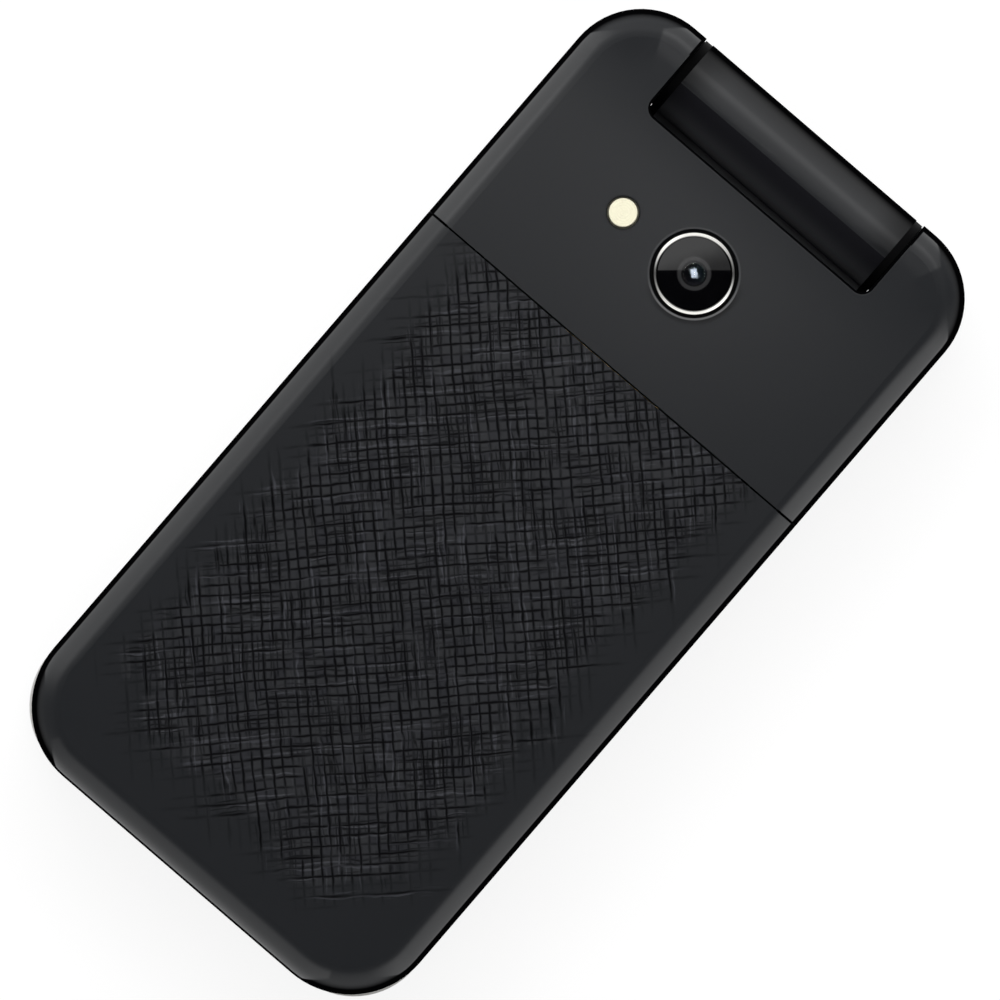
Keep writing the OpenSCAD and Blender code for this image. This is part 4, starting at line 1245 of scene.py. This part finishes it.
def softbox(name, centre, target, size, radiance):
    """Rectangular studio light in metres, turned to face the target."""
    light = bpy.data.lights.new(name, "AREA")
    light.shape = "RECTANGLE"
    light.size, light.size_y = size
    light.energy = radiance * math.pi * size[0] * size[1]
    lamp = bpy.data.objects.new(name, light)
    bpy.context.scene.collection.objects.link(lamp)
    lamp.location = centre
    lamp.rotation_euler = (Vector(target) - Vector(centre)).to_track_quat("-Z", "Y").to_euler()
    lamp.visible_camera = False
    return lamp


def make_lights():
    # Overhead panel: its lower edge, as the photograph is seen, is mirrored across the window
    up = photo_direction(0, 1)
    below = Vector((0, 0, -1))
    mirror_shift = 0.010
    centre = WINDOW_AT * MM + up * (OVERHEAD_SIZE[1] / 2 + mirror_shift)
    centre.z = OVERHEAD_HEIGHT
    overhead = softbox(
        "overhead_panel", centre, centre + below, OVERHEAD_SIZE, OVERHEAD_RADIANCE
    )
    overhead.rotation_euler = (0, 0, PHONE_TURN)
    # Key light from the far side of the picture
    key_at = up * 0.36
    key_at.z = 0.38
    key = softbox("key_light", key_at, (0, 0, BACK_Z * MM), KEY_SIZE, KEY_RADIANCE)
    key.visible_glossy = False
    # Small lamp beside the camera, which the window mirrors as a catch light
    catch_at = WINDOW_AT * MM + photo_direction(0.0024, 0.0031)
    catch_at.z = 0.36
    catch = softbox("catch_light", catch_at, catch_at + below, CATCH_SIZE, CATCH_RADIANCE)
    catch.rotation_euler = (0, 0, PHONE_TURN + math.radians(8))


def make_world():
    """Room with two pale walls, a dark ceiling and a white horizon."""
    s = Shade("studio_room", bpy.data.worlds)
    bpy.context.scene.world = s.material
    direction = s.node("ShaderNodeTexCoord", out="Generated")
    x, _, z = s.split(direction)
    level = s.math("SQRT", (1.0 - z * z).larger(0.0001))
    to_wall = s.node(
        "ShaderNodeVectorMath", {0: direction, 1: photo_direction(0, 1)}, out="Value",
        operation="DOT_PRODUCT",
    )
    beside = (abs(x) / level).step(0.8, 0.98)
    walls = 0.12 + abs(to_wall) / level * 0.88 + beside * 0.45
    room = walls * (1.0 - z.step(0.78, 0.95)) + 0.006
    shown = room + (1.0 - z.step(0.03, 0.06)) * (1.0 - room)
    background = s.node("ShaderNodeBackground", {"Color": (1, 1, 1), "Strength": shown})
    s.node("ShaderNodeOutputWorld", {"Surface": background})


def make_camera():
    """Looks straight down, so far off that the view is almost parallel."""
    camera = bpy.data.cameras.new("photo_camera")
    camera.lens = CAMERA_LENS
    camera.sensor_width = CAMERA_SENSOR
    camera.clip_end = 20.0
    holder = bpy.data.objects.new("photo_camera", camera)
    bpy.context.scene.collection.objects.link(holder)
    view_width = PHOTO_PIXELS / PIXELS_PER_MM * MM
    middle = PHOTO_PIXELS / 2
    right = (middle - PHONE_CENTRE_PX[0]) / PIXELS_PER_MM * MM
    up = (PHONE_CENTRE_PX[1] - middle) / PIXELS_PER_MM * MM
    holder.location = photo_direction(right, up)
    holder.location.z = FOCUS_HEIGHT * MM + view_width * CAMERA_LENS / CAMERA_SENSOR
    holder.rotation_euler = (0, 0, PHONE_TURN)
    bpy.context.scene.camera = holder


# ---------------------------------------------------------------- assembly

make_camera()
make_floor()
make_world()
make_lights()
dress_frame()
camera_window()
camera_ring()
front_lens()
flash_lens()
make_keypad()
bumpers()
earpiece_mesh()
volume_rocker()
socket_contacts()
battery_pads()

bpy.context.scene.view_settings.view_transform = "Standard"
bpy.context.view_layer.update()
